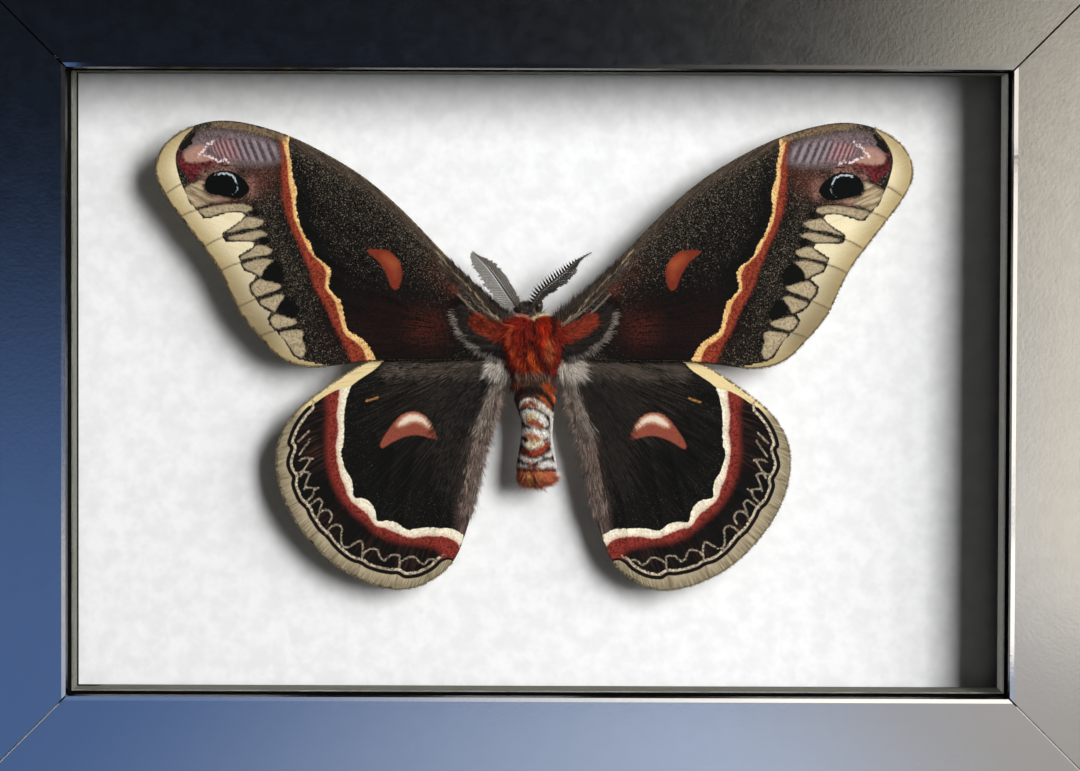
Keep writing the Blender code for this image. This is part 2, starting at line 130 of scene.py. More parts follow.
def off_line(points, line):
    """Distance of each point from an open line, and which side it is on: 1 to the left."""
    starts, spans = line[:-1], np.diff(line, axis=0)
    lengths = np.maximum((spans ** 2).sum(1), 1e-12)
    gap = points[:, None] - starts[None]
    share = np.clip((gap * spans).sum(2) / lengths, 0, 1)
    rest = gap - share[..., None] * spans
    square = (rest ** 2).sum(2)
    nearest = square.argmin(1)
    rows = np.arange(len(points))
    span, reach = spans[nearest], gap[rows, nearest]
    side = np.sign(span[:, 0] * reach[:, 1] - span[:, 1] * reach[:, 0])
    return np.sqrt(square[rows, nearest]), np.where(side == 0, 1, side)


def inside(points, ring):
    """Which points lie in a closed ring."""
    x, y = points[:, 0][:, None], points[:, 1][:, None]
    x1, y1 = ring[:, 0][None], ring[:, 1][None]
    x2, y2 = np.roll(ring, -1, axis=0).T[:, None]
    rise = np.where(y2 == y1, 1e-9, y2 - y1)
    crossed = ((y1 > y) != (y2 > y)) & (x < (x2 - x1) * (y - y1) / rise + x1)
    return crossed.sum(1) % 2 == 1


def off_ring(points, ring):
    """Distance from a closed ring, negative inside it."""
    away, _ = off_line(points, looped(ring))
    return np.where(inside(points, ring), -away, away)


def off_rings(points, rings_px):
    """Distance from the nearest of several closed rings given by pixels."""
    return np.min([off_ring(points, smooth(plan(ring), 4, True)) for ring in rings_px], axis=0)


def off_lines(points, lines_px, steps=4):
    """Distance from the nearest of several open lines given by pixels."""
    return np.min([off_line(points, smooth(plan(line), steps))[0] for line in lines_px], axis=0)


def beyond(points, line_px, steps=5):
    """Distance from a line across the wing, positive on the side of the outer margin."""
    away, side = off_line(points, smooth(plan(line_px), steps))
    return away * side


def blobs(points, spots):
    """Sum of soft round spots, each (pixel x, pixel y, radius in pixels, strength)."""
    total = np.zeros(len(points))
    for x, y, radius, strength in spots:
        gap = points - plan((x, y))
        total += strength * np.exp(-(gap ** 2).sum(1) / (radius * PIXEL) ** 2)
    return total


# Node trees.

def linear(red, green, blue):
    """A colour as seen on a screen, 0 to 255, as the linear colour a shader takes."""
    shares = np.array((red, green, blue)) / 255.0
    values = np.where(shares <= 0.04045, shares / 12.92, ((shares + 0.055) / 1.055) ** 2.4)
    return (*(float(value) for value in values), 1.0)


class Shader:
    """A material whose node tree is written as short calls on sockets and plain numbers."""

    def __init__(self, name, **constants):
        self.material = bpy.data.materials.new(name)
        self.material.use_nodes = True
        self.tree = self.material.node_tree
        self.principled = self.tree.nodes["Principled BSDF"]
        for socket, value in constants.items():
            self.principled.inputs[socket.replace("_", " ")].default_value = value
        self.where = None

    def node(self, kind, inputs=(), **settings):
        """A new node with values or links on its inputs."""
        made = self.tree.nodes.new(kind)
        for key, value in settings.items():
            setattr(made, key, value)
        for key, value in dict(inputs).items():
            self.plug(made.inputs[key], value)
        return made

    def plug(self, socket, value):
        """Link a socket or set its value; a colour of three numbers is one seen on a screen."""
        if isinstance(value, bpy.types.NodeSocket):
            self.tree.links.new(value, socket)
        elif socket.type == "RGBA" and len(value) == 3:
            socket.default_value = linear(*value)
        else:
            socket.default_value = value

    def place(self):
        """The surface point in millimetres."""
        if self.where is None:
            coordinates = self.node("ShaderNodeTexCoord").outputs["Object"]
            self.where = self.vector("SCALE", coordinates, scale=1 / MM)
        return self.where

    def vector(self, operation, first, second=None, scale=None):
        made = self.node("ShaderNodeVectorMath", {0: first}, operation=operation)
        if second is not None:
            self.plug(made.inputs[1], second)
        if scale is not None:
            self.plug(made.inputs["Scale"], scale)
        return made.outputs[0]

    def stretched(self, factors, where=None):
        return self.vector("MULTIPLY", where or self.place(), factors)

    def attribute(self, name, output="Fac"):
        return self.node("ShaderNodeAttribute", attribute_name=name).outputs[output]

    def noise(self, per_mm, detail=2.0, roughness=0.5, where=None):
        """Smooth noise, about 0.3 to 0.7, with features 1 / per_mm across."""
        inputs = {"Vector": where or self.place(), "Scale": per_mm, "Detail": detail,
                  "Roughness": roughness}
        return self.node("ShaderNodeTexNoise", inputs).outputs["Fac"]

    def cells(self, per_mm):
        """Voronoi cells: distance from the cell's middle, and two random numbers of the cell."""
        made = self.node("ShaderNodeTexVoronoi", {"Vector": self.place(), "Scale": per_mm})
        parts = self.node("ShaderNodeSeparateColor", {0: made.outputs["Color"]})
        return made.outputs["Distance"], parts.outputs[0], parts.outputs[1]

    def math(self, operation, first, second=0.0):
        made = self.node("ShaderNodeMath", {0: first, 1: second}, operation=operation)
        return made.outputs[0]

    def add(self, first, second):
        return self.math("ADD", first, second)

    def times(self, first, second):
        return self.math("MULTIPLY", first, second)

    def step(self, value, low, high):
        """0 below low, 1 above high, and the other way round where low is the larger."""
        inputs = {"Value": value, "From Min": low, "From Max": high}
        return self.node("ShaderNodeMapRange", inputs,
                         interpolation_type="SMOOTHSTEP").outputs["Result"]

    def mix(self, share, first, second, blend="MIX"):
        made = self.node("ShaderNodeMix", data_type="RGBA", blend_type=blend)
        self.plug(made.inputs[0], share)
        self.plug(made.inputs[6], first)
        self.plug(made.inputs[7], second)
        return made.outputs[2]

    def bump(self, height, distance, strength=1.0):
        """Relief with its depth in millimetres."""
        inputs = {"Height": height, "Distance": distance * MM, "Strength": strength}
        return self.node("ShaderNodeBump", inputs).outputs["Normal"]

    def finish(self, color, roughness, normal=None):
        """Plug the surface's colour, roughness and relief in, and return the material."""
        self.plug(self.principled.inputs["Base Color"], color)
        self.plug(self.principled.inputs["Roughness"], roughness)
        if normal is not None:
            self.plug(self.principled.inputs["Normal"], normal)
        return self.material


# Meshes.

def make_piece(name, points, faces, material, nodes=(), marks=None, uv=None, vectors=None,
               colors=None, smooth_shading=True):
    """A mesh from arrays in millimetres, riding on the case.

    marks, vectors and colors are attributes of its points, by name, and uv is per corner."""
    mesh = bpy.data.meshes.new(name)
    faces = np.asarray(faces, np.int32)
    mesh.vertices.add(len(points))
    mesh.vertices.foreach_set("co", (np.asarray(points) * MM).astype(np.float32).ravel())
    mesh.loops.add(faces.size)
    mesh.loops.foreach_set("vertex_index", faces.ravel())
    mesh.polygons.add(len(faces))
    starts = np.arange(0, faces.size, faces.shape[1], dtype=np.int32)
    mesh.polygons.foreach_set("loop_start", starts)
    mesh.update(calc_edges=True)
    for key, values in (marks or {}).items():
        layer = mesh.attributes.new(key, "FLOAT", "POINT")
        layer.data.foreach_set("value", np.asarray(values, np.float32))
    for key, values in (vectors or {}).items():
        layer = mesh.attributes.new(key, "FLOAT_VECTOR", "POINT")
        layer.data.foreach_set("vector", np.asarray(values, np.float32).ravel())
    for key, values in (colors or {}).items():
        layer = mesh.attributes.new(key, "FLOAT_COLOR", "POINT")
        rgba = np.column_stack([values, np.ones(len(values))])
        layer.data.foreach_set("color", rgba.astype(np.float32).ravel())
    if uv is not None:
        layer = mesh.uv_layers.new(name="OFBake")
        layer.data.foreach_set("uv", np.asarray(uv, np.float32).ravel())
    mesh.polygons.foreach_set("use_smooth", np.full(len(faces), smooth_shading))
    mesh.materials.append(material)
    made = bpy.data.objects.new(name, mesh)
    bpy.context.scene.collection.objects.link(made)
    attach(made, "root")
    if nodes:
        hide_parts(*nodes)
    return made


def grid_faces(rows, columns):
    """Triangles of a tube of rings, ring by ring."""
    a = np.arange((rows - 1) * columns)
    b = a // columns * columns + (a + 1) % columns
    return np.column_stack([a, b, b + columns, a, b + columns, a + columns]).reshape(-1, 3)


def tube_faces(rows, columns):
    """Triangles of a closed tube: after its rings come the poles of its first and last ring."""
    ring = np.arange(columns)
    after = (ring + 1) % columns
    top = (rows - 1) * columns
    poles = np.full(columns, rows * columns)
    return np.vstack([grid_faces(rows, columns), np.column_stack([after, ring, poles]),
                      np.column_stack([top + ring, top + after, poles + 1])])


def to_world(a, y, b, side):
    """Plan coordinates and depth as points of the case's frame."""
    return np.column_stack([MOTH_X + side * np.asarray(a), y, MOTH_Z + np.asarray(b)])


# The case.

LIP_BEVEL = 1.02              # depth of the bevel on the rails' inner front edge
LEDGE_GAP = 0.32              # from the rails' ledge to the glass
LINING_PROUD = 0.05           # how far the lip's black edge stands out of the rails
LINING_SUNK = 0.20            # and how far it reaches into them
BLACKENED_FROM = 14.0         # depth behind the lip where the spacer turns black
BLACKENED_LATER = 2.0         # this much deeper everywhere but on its left strip
LEFT_STRIP_X = -80.0          # the left strip lies beyond this


def lacquer():
    """Satin black lacquer with a fine orange peel and a few settled dust specks."""
    s = Shader("frame_lacquer_paint", Specular_IOR_Level=1.0, Coat_Weight=0.2, Coat_Roughness=0.15)
    peel = s.noise(1.6, 3.0)
    fine = s.noise(7.0, 2.0)
    cloud = s.noise(0.03, 2.0)
    distance, chance, _ = s.cells(0.55)
    speck = s.times(s.step(distance, 0.16, 0.08), s.step(chance, 0.93, 0.96))
    color = s.mix(cloud, (12, 13, 15), (18, 19, 21))
    color = s.mix(s.times(speck, 0.15), color, (120, 120, 120))
    roughness = s.add(s.times(s.noise(0.4, 3.0), 0.08), 0.12)
    height = s.add(peel, s.times(fine, 0.5))
    return s.finish(color, roughness, s.bump(height, 0.010))


def paper():
    """Heavy white mount paper: soft mottling and a fibrous tooth; brown board at its edges."""
    s = Shader("backing_paper_sheet", Specular_IOR_Level=0.25)
    mottle = s.noise(0.28, 4.0, 0.6)
    tooth = s.noise(1.3, 4.0, 0.65)
    fibre = s.noise(1.0, 3.0, 0.6, s.stretched((0.5, 1.0, 3.2)))
    color = s.mix(s.step(mottle, 0.35, 0.65), (233, 234, 234), (243, 244, 244))
    color = s.mix(s.times(s.step(tooth, 0.5, 0.75), 0.35), color, (222, 223, 223))
    normal = s.node("ShaderNodeNewGeometry").outputs["Normal"]
    facing = s.node("ShaderNodeSeparateXYZ", {0: normal}).outputs[1]
    board = s.step(facing, -0.8, -0.5)
    card = s.mix(s.noise(3.0, 3.0), (170, 150, 120), (130, 110, 82))
    color = s.mix(board, color, card)
    height = s.add(s.times(tooth, 0.6), s.times(fibre, 0.4))
    return s.finish(color, 0.85, s.bump(height, 0.05, 0.3))


def card_strip(name, dark, light, per_mm, blackened=False):
    """Cut card: cloudy tone, a fibrous edge and faint layers; blackened is black to the rear."""
    s = Shader(name, Specular_IOR_Level=0.0)
    cloud = s.noise(0.3, 3.0)
    fibre = s.noise(per_mm, 3.0, 0.65)
    layer = s.noise(1.0, 2.0, 0.5, s.stretched((0.15, 6.0, 0.15)))
    shade = s.add(s.times(fibre, 0.6), s.times(layer, 0.4))
    color = s.mix(s.step(shade, 0.35, 0.65), dark, light)
    color = s.mix(s.times(cloud, 0.4), color, dark)
    if blackened:
        x, y, _ = s.node("ShaderNodeSeparateXYZ", {0: s.place()}).outputs
        right_of = s.step(x, LEFT_STRIP_X, LEFT_STRIP_X + 2.0)
        edge = s.add(s.times(right_of, BLACKENED_LATER), LIP_Y + BLACKENED_FROM)
        past = s.math("SUBTRACT", y, edge)
        color = s.mix(s.step(past, -0.4, 0.4), color, (10, 11, 10))
    return s.finish(color, s.add(s.times(fibre, 0.2), 0.65), s.bump(shade, 0.08))


def lip_lining():
    """Dull black edge of the rails' lip, one thin ring round the opening."""
    s = Shader("lip_edge_paint", Specular_IOR_Level=0.0)
    brushed = s.noise(1.2, 3.0, 0.6, s.stretched((0.3, 3.0, 0.3)))
    color = s.mix(brushed, (6, 6, 6), (20, 20, 21))
    material = s.finish(color, 0.9, s.bump(brushed, 0.03))
    half_z = MIDDLE_Z - node_box("frame_bottom")[1][2]
    half_x = node_box("frame_right")[0][0]
    rear, front = GLASS_Y - LEDGE_GAP, LIP_Y + LIP_BEVEL
    section = ((-LINING_PROUD, rear), (-LINING_PROUD, front), (LINING_SUNK, front),
               (LINING_SUNK, rear))
    points = [(x * (half_x + reach), y, MIDDLE_Z + z * (half_z + reach))
              for x, z in ((1, 1), (-1, 1), (-1, -1), (1, -1)) for reach, y in section]
    make_piece("lip_lining", points, grid_faces(5, 4) % len(points), material,
               smooth_shading=False)


def hardboard():
    """Pressed brown fibre board with pale flecks and a few darker stains."""
    s = Shader("hardboard_panel", Specular_IOR_Level=0.3)
    cloud = s.noise(0.06, 4.0, 0.6)
    fibre = s.noise(1.4, 4.0, 0.7, s.stretched((1.0, 1.0, 1.7)))
    distance, chance, hue = s.cells(0.9)
    fleck = s.times(s.step(distance, 0.3, 0.1), s.step(chance, 0.78, 0.9))
    color = s.mix(s.step(fibre, 0.35, 0.65), (96, 68, 44), (134, 100, 68))
    color = s.mix(s.times(s.step(cloud, 0.5, 0.7), 0.4), color, (82, 58, 38))
    color = s.mix(s.times(fleck, 0.5), color, s.mix(hue, (160, 128, 92), (70, 48, 32)))
    return s.finish(color, s.add(s.times(fibre, 0.3), 0.5), s.bump(fibre, 0.12))


def steel():
    """Zinc-plated pressed steel with drawing marks and dull patches."""
    s = Shader("steel_zinc_plated", Metallic=1.0)
    drawn = s.noise(1.5, 3.0, 0.6, s.stretched((0.4, 3.0, 3.0)))
    dull = s.noise(0.5, 4.0, 0.6)
    color = s.mix(drawn, (150, 150, 148), (198, 198, 194))
    color = s.mix(s.times(s.step(dull, 0.52, 0.7), 0.5), color, (118, 114, 104))
    roughness = s.add(s.times(dull, 0.35), 0.18)
    return s.finish(color, roughness, s.bump(drawn, 0.03))


def cork():
    """Ground cork: pressed granules with dark joints."""
    s = Shader("cork_granules", Specular_IOR_Level=0.2)
    distance, chance, _ = s.cells(1.8)
    grain = s.mix(chance, (150, 108, 66), (196, 154, 104))
    color = s.mix(s.step(distance, 0.45, 0.7), grain, (84, 54, 30))
    return s.finish(color, 0.85, s.bump(s.times(distance, -1.0), 0.2))


def glass():
    """Picture glass: clear, with the faintest green and a sheen; light passes straight through."""
    s = Shader("glass_sheet", Alpha=0.04, Specular_IOR_Level=0.1)
    film = s.noise(0.05, 3.0, 0.6)
    color = s.mix(film, (34, 44, 42), (44, 54, 50))
    return s.finish(color, s.add(s.times(film, 0.03), 0.02))


def dress_case():
    """Give every CAD node of the case its own finish."""
    spacer = card_strip("spacer_strip_card", (96, 96, 89), (131, 131, 121), 3.0, blackened=True)
    shim = card_strip("black_card_strip", (12, 12, 12), (24, 24, 24), 4.0)
    fittings = [name for name in frame["nodes"]
                if name.startswith(("panel_tab", "sawtooth", "hanger_nail"))]
    for material, names in ((lacquer(), RAILS), (glass(), ["glass_pane"]),
                            (spacer, ["spacer_strip"]), (shim, ["shim_strip"]),
                            (paper(), ["backing_board"]), (hardboard(), ["back_panel"]),
                            (cork(), ["cork_pillar"]), (steel(), fittings)):
        for name in names:
            piece = frame["nodes"][name]
            piece.data.materials.clear()
            piece.data.materials.append(material)


# Wings: the plan mesh and its relief.

WING_THICK = 0.34             # skin's thickness between the veins
RIM_THICK = 0.10
WING_SPACING = 0.40           # mesh spacing
VEIN_HEIGHT = 0.13
VEIN_WIDTH = 0.32
VEIN_REAR = 0.6               # a vein's height behind as a share of the one in front
SAG = 0.16                    # how far the membrane bows between veins
SAG_REACH = 1.6               # the distance from a vein over which it bows
RIM_EASE = 0.5                # the distance over which the rim thickens
ROW_STEP = 0.866              # between rows of the mesh, in mesh spacings
RIM_CLEARANCE = 0.62          # of the mesh's inner points from the rim, in mesh spacings
FRONT_FACING = -0.6           # a CAD face belongs to the front where its normal's Y is less


def cad_outline(node):
    """The rim of a wing's CAD solid in (a, b), as the ring round its front faces."""
    mesh = frame["nodes"][node].data
    keys, merged = {}, []
    for vertex in mesh.vertices:
        key = tuple(round(value / MM, 3) for value in vertex.co)
        merged.append(keys.setdefault(key, len(keys)))
    places = np.array(list(keys))
    edges = {}
    for face in mesh.polygons:
        if face.normal.y > FRONT_FACING:
            continue
        corners = [merged[i] for i in face.vertices]
        for first, second in zip(corners, corners[1:] + corners[:1]):
            if (second, first) in edges:
                del edges[(second, first)]
            else:
                edges[(first, second)] = True
    following = dict(edges.keys())
    start = min(following)
    ring, here = [], start
    while not ring or here != start:
        ring.append(here)
        here = following[here]
    outline = places[ring]
    return np.column_stack([np.abs(outline[:, 0] - MOTH_X), outline[:, 2] - MOTH_Z])


def cad_depth(node):
    """Y of a wing's middle surface as a function of a, read off its CAD solid."""
    co = np.array([vertex.co for vertex in frame["nodes"][node].data.vertices]) / MM
    a = np.abs(co[:, 0] - MOTH_X)
    terms = np.polynomial.polynomial.polyfit(a, co[:, 1], 2)
    return lambda places: np.polynomial.polynomial.polyval(places, terms)


def plan_mesh(outline, spacing):
    """Triangles that fill an outline with near-even points; rim points come first."""
    low, high = outline.min(0), outline.max(0)
    rows = np.arange(low[1], high[1], spacing * ROW_STEP)
    grid = []
    for i, b in enumerate(rows):
        a = np.arange(low[0] + (i % 2) * spacing / 2, high[0], spacing)
        grid.append(np.column_stack([a, np.full(len(a), b)]))
    grid = np.vstack(grid)
    grid = grid[inside(grid, outline)]
    grid = grid[off_line(grid, looped(outline))[0] > RIM_CLEARANCE * spacing]
    points = np.vstack([outline, grid])
    count = len(outline)
    border = [(i, (i + 1) % count) for i in range(count)]
    places, _, faces, _, _, _ = delaunay_2d_cdt([Vector(p) for p in points], border, [], 1, 1e-7)
    return np.array(places), np.array(faces)


def wing_shell(points, faces, rim_count, depth, vein, rim):
    """Front and rear skins joined at the rim.

    Returns the plan points, their Y, all faces and the number of faces in front."""
    ease = 1 - np.exp(-rim / RIM_EASE)
    half = RIM_THICK / 2 + (WING_THICK - RIM_THICK) / 2 * ease
    ridge = VEIN_HEIGHT * np.exp(-(vein / VEIN_WIDTH) ** 2) * ease
    bow = SAG * (1 - np.exp(-(vein / SAG_REACH) ** 2)) * ease
    middle = depth(points[:, 0])
    front = middle - half - ridge + bow
    rear = middle + half + VEIN_REAR * ridge + bow
    count = len(points)
    inner = np.arange(rim_count, count)
    rear_index = np.arange(count)
    rear_index[inner] = count + np.arange(len(inner))
    y = np.concatenate([front, rear[inner]])
    y[:rim_count] = middle[:rim_count]
    plan_points = np.vstack([points, points[inner]])
    rear_faces = rear_index[faces][:, ::-1]
    return plan_points, y, np.vstack([faces, rear_faces]), len(faces)


MAP_EDGE = 0.01               # margin of a wing's map
LARGE_REAR, SMALL_REAR = 0.45, 0.3   # rear's greatest scale, and the least beside a large front
WIDE_FRONT = 0.98             # scale of the front where the rear fits beside it
NARROW_FRONT, NARROW_REAR = 0.72, 0.24   # front's scale and rear's height where it doesn't


def wing_uv(plan_points, faces, front_count):
    """Front on most of the map, rear smaller beside it, both as flat unwraps of the wing."""
    low, high = plan_points.min(0), plan_points.max(0)
    size = high - low
    shares = (plan_points - low) / size.max()
    shares = shares[:, ::-1] if size[1] > size[0] else shares
    shorter = size.min() / size.max()
    front_scale = WIDE_FRONT
    rear_scale = min(0.96 - shorter, LARGE_REAR) / shorter
    if rear_scale < SMALL_REAR:
        front_scale, rear_scale = NARROW_FRONT, NARROW_REAR / shorter
    corners = shares[faces]
    uv = corners * front_scale + MAP_EDGE
    rear = corners[front_count:] * rear_scale
    uv[front_count:] = rear + (MAP_EDGE, shorter * front_scale + 2 * MAP_EDGE)
    return uv.reshape(-1, 2)


# Forewing markings, by pixels.

FORE_VEINS = (
    ((560, 328), (592, 300), (625, 263), (668, 226), (720, 190), (775, 160), (830, 140), (868, 133)),
    ((562, 333), (600, 306), (640, 268), (676, 243), (702, 232), (760, 196), (800, 176),
     (838, 167), (865, 171), (880, 178), (902, 192)),
    ((702, 232), (706, 250), (700, 262), (760, 228), (806, 208), (850, 206), (872, 212), (892, 222)),
    ((700, 262), (690, 284), (740, 258), (780, 238), (806, 230), (832, 234), (852, 241), (868, 250)),
    ((690, 284), (676, 298), (730, 278), (772, 262), (797, 257), (825, 262), (840, 268), (852, 276)),
    ((676, 298), (650, 316), (710, 306), (760, 293), (787, 291), (810, 300), (834, 310)),
    ((562, 340), (600, 335), (650, 316)),
    ((562, 345), (620, 346), (700, 342), (752, 334), (775, 327), (803, 335), (816, 341)),
)
CREAM_EDGE = ((778, 140), (778, 152), (775, 165), (775, 175), (770, 193), (771, 207), (768, 222),
              (762, 237), (757, 243), (752, 256), (745, 262), (738, 268), (736, 275), (738, 288),
              (730, 298), (726, 302), (723, 315), (719, 330), (712, 335), (703, 341), (697, 348),
              (691, 360), (686, 372))
RED_EDGE = ((786, 138), (783, 150), (780, 165), (779, 180), (776, 200), (773, 220), (765, 238),
            (757, 254), (744, 267), (741, 275), (742, 289), (733, 301), (728, 317), (722, 335),
            (706, 348), (700, 364), (698, 374))
RED_END = ((789, 138), (787, 150), (786, 180), (784, 205), (778, 225), (770, 243), (764, 258),
           (758, 272), (752, 290), (742, 308), (733, 328), (724, 345), (716, 362), (712, 374))
FORE_LUNULE = ((701, 251), (690, 250), (680, 251), (672, 257), (667, 264), (665, 273), (666, 282),
               (670, 290), (675, 289), (678, 283), (681, 275), (685, 268), (690, 261))
WAVY = ((884, 189), (880, 197), (876, 205), (870, 211), (866, 217), (861, 220), (852, 218),
        (843, 215), (832, 213), (822, 216), (826, 222), (834, 228), (842, 233), (844, 237),
        (840, 243), (830, 243), (818, 243), (812, 245), (815, 249), (823, 254), (828, 258),
        (826, 264), (823, 271), (816, 274), (810, 278), (814, 282), (818, 288), (815, 295),
        (811, 300), (806, 307), (801, 311), (795, 313), (799, 319), (797, 326), (792, 331),
        (786, 337), (780, 346), (776, 353), (770, 359), (760, 362))
BAND_START = ((868, 120), (874, 130), (881, 137), (887, 146), (891, 156), (891, 166), (888, 178))
TEETH = (
    ((814, 209), (825, 205), (845, 206), (868, 211), (865, 216), (859, 219), (846, 215), (828, 213),
     (820, 214)),
    ((802, 222), (808, 220), (817, 218), (823, 219), (833, 228), (841, 233), (839, 235), (826, 231),
     (810, 229)),
    ((799, 236), (805, 232), (813, 232), (826, 235), (838, 238), (838, 241), (828, 242), (815, 242),
     (808, 239)),
    ((794, 251), (799, 248), (806, 246), (812, 247), (817, 252), (827, 258), (825, 261), (815, 259),
     (804, 257), (798, 256)),
    ((793, 262), (799, 260), (808, 260), (824, 265), (822, 270), (816, 273), (808, 277), (806, 280),
     (803, 272), (798, 266)),
    ((785, 287), (790, 284), (799, 282), (807, 280), (812, 283), (816, 288), (813, 295), (809, 298),
     (798, 294), (790, 292)),
    ((782, 297), (788, 295), (797, 298), (808, 302), (804, 307), (798, 310), (792, 313), (789, 308),
     (785, 302)),
    ((769, 322), (776, 319), (784, 317), (792, 315), (797, 320), (795, 326), (790, 330), (780, 328),
     (773, 326)),
    ((763, 333), (769, 330), (778, 331), (788, 334), (782, 342), (776, 350), (771, 357), (764, 358),
     (761, 350), (764, 341)),
)
TOOTH_VEINS = (
    ((806, 203), (822, 203), (842, 205), (858, 207), (870, 211)),
    ((800, 229), (815, 230), (830, 234), (842, 238)),
    ((794, 257), (806, 258), (818, 261), (827, 264)),
    ((783, 290), (792, 293), (802, 297), (811, 300)),
    ((766, 325), (775, 328), (784, 331), (792, 332)),
)
TICKS = (
    ((876, 182), (888, 187), (900, 195)), ((868, 211), (880, 215), (892, 222)),
    ((842, 238), (852, 242), (862, 248)), ((827, 264), (836, 267), (846, 272)),
    ((811, 300), (820, 304), (830, 309)), ((792, 332), (802, 335), (812, 340)),
)
EYESPOT = ((817.5, 190), (822, 182), (828, 177), (835, 173), (845, 172), (855, 175), (860, 180),
           (862, 187), (858, 194), (848, 197), (838, 199), (829, 200), (822, 197))
CRESCENT = ((852, 176), (843, 175), (837, 176), (833, 179), (831, 184), (829.5, 189), (831, 193),
            (835, 197))
BEIGE = ((862, 182), (872, 184), (880, 189), (883, 192), (878, 201), (871, 209), (860, 206),
         (846, 202), (836, 201), (850, 199), (860, 195), (864, 189))
LAVENDER = ((786, 164), (787, 152), (792, 143), (806, 137), (824, 133), (842, 131), (858, 131),
            (868, 133), (874, 138), (880, 146), (885, 155), (876, 158), (866, 158), (852, 162),
            (838, 166), (822, 168), (804, 168))
PINK = ((862, 148), (868, 147), (876, 150), (883, 156), (885, 162), (876, 165), (864, 164),
        (852, 163), (856, 158), (862, 157))
# Painted highlights: pale glints on the wing's tip, laid into its colour.
PAINTED_GLEAMS = (((853, 142), (857, 146), (859, 145), (862, 151), (867, 155), (868, 158)),
          ((838, 164), (843, 161), (848, 163), (855, 159), (862, 157)))
DASH = ((871, 134), (874, 135), (878, 139), (883, 144), (887, 151), (885, 152), (881, 150),
        (878, 147), (874, 145), (876, 142), (873, 138))
CRIMSON = (
    ((885, 151), (888, 155), (889, 165), (886, 171), (880, 177), (875, 183), (870, 179), (866, 173),
     (857, 169), (848, 166), (840, 164), (846, 161), (858, 163), (870, 165), (880, 164), (884, 160)),
)
SPEARS = (
    ((806, 262), (799, 263), (794, 266), (789, 271), (785, 277), (786, 283), (791, 281), (797, 281),
     (803, 281), (801, 276), (807, 273), (800, 270)),
    ((787, 296), (782, 299), (777, 304), (773, 311), (768, 317), (774, 317), (781, 315), (789, 313),
     (783, 309), (787, 305), (781, 303)),
    ((805, 236), (800, 239), (797, 243), (800, 246), (806, 245), (802, 241)),
    ((810, 209), (805, 213), (801, 218), (806, 217), (813, 214)),
)
EYE_VEIN = (((828, 168), (840, 167), (852, 169), (864, 174), (876, 181)),)
BASE_RED = (((558, 333), (572, 325), (590, 314), (598, 319), (597, 327), (588, 335), (574, 341),
             (562, 344)),)
BASE_HAIR = (((614, 314), (611, 326), (606, 336), (598, 344), (589, 351), (579, 357), (568, 363)),)
BASE_LINE = (((562, 326), (584, 310), (604, 290), (628, 262)),
             ((570, 329), (590, 314), (610, 294)))
FORE_COSTA = ((556, 318), (567, 307), (612, 265), (660, 215), (700, 181), (740, 157), (780, 137),
              (815, 127), (850, 122))


# Hindwing markings, by pixels.

HIND_VEINS = (
    ((575, 352), (620, 356), (668, 372), (716, 392), (770, 425)),
    ((575, 358), (620, 372), (660, 396), (690, 412), (740, 432), (779, 447)),
    ((690, 412), (696, 430), (740, 458), (788, 475)),
    ((696, 430), (690, 448), (735, 488), (777, 509)),
    ((690, 448), (672, 454), (712, 510), (756, 545)),
    ((575, 364), (606, 400), (640, 440), (672, 454)),
    ((672, 454), (686, 510), (712, 578)),
    ((650, 446), (662, 510), (676, 588)),
    ((573, 370), (592, 420), (622, 500), (636, 580)),
)
WHITE_EDGE = ((713, 372), (716, 386), (721, 402), (723, 418), (723, 432), (724, 446), (726, 453),
              (724, 464), (721, 472), (716, 480), (714, 489), (714, 496), (711, 499), (703, 500),
              (696, 505), (692, 512), (690, 521), (687, 523), (680, 522), (670, 524), (662, 530),
              (656, 531), (645, 529), (630, 529), (615, 530), (605, 535), (597, 541), (588, 552))
WHITE_END = ((727, 372), (728, 397), (730, 415), (729, 432), (731, 450), (727, 475), (722, 487),
             (718, 499), (710, 507), (700, 515), (692, 526), (680, 530), (668, 535), (655, 539),
             (640, 537), (622, 538), (612, 542), (607, 548), (603, 560))
HIND_RED_END = ((750, 380), (745, 398), (742, 412), (743, 435), (743, 452), (741, 470), (736, 486),
                (729, 500), (718, 514), (704, 526), (690, 538), (672, 545), (650, 548), (632, 552),
                (626, 558), (626, 568), (620, 585))
OUTER_LINE = ((758, 408), (764, 414), (771, 424), (776, 434), (779, 445), (776, 449), (779, 458),
              (780, 466), (777, 474), (774, 479), (775, 486), (772, 495), (768, 503), (761, 510),
              (758, 517), (753, 525), (748, 532), (741, 538), (734, 547), (726, 555), (716, 562),
              (706, 565), (700, 569), (688, 573), (676, 575), (669, 575), (662, 579), (650, 578),
              (640, 574), (632, 569), (626, 563), (619, 560), (612, 562), (604, 567))
COSTAL_EDGE = ((686, 364), (692, 370), (701, 376), (710, 382), (718, 388), (730, 391), (742, 397),
               (752, 404))
HIND_LUNULE = (((630, 440), (632, 432), (637, 424), (643, 417), (650, 413), (658, 413), (666, 416),
                (672, 422), (678, 430), (684, 439), (687, 447), (684, 449), (676, 444), (668, 440),
                (660, 437), (650, 436), (640, 438)),)
LUNULE_WHITE = (((637, 428), (642, 421), (648, 417), (656, 416), (663, 419), (669, 426), (663, 425),
                 (656, 422), (648, 422), (642, 425)),)
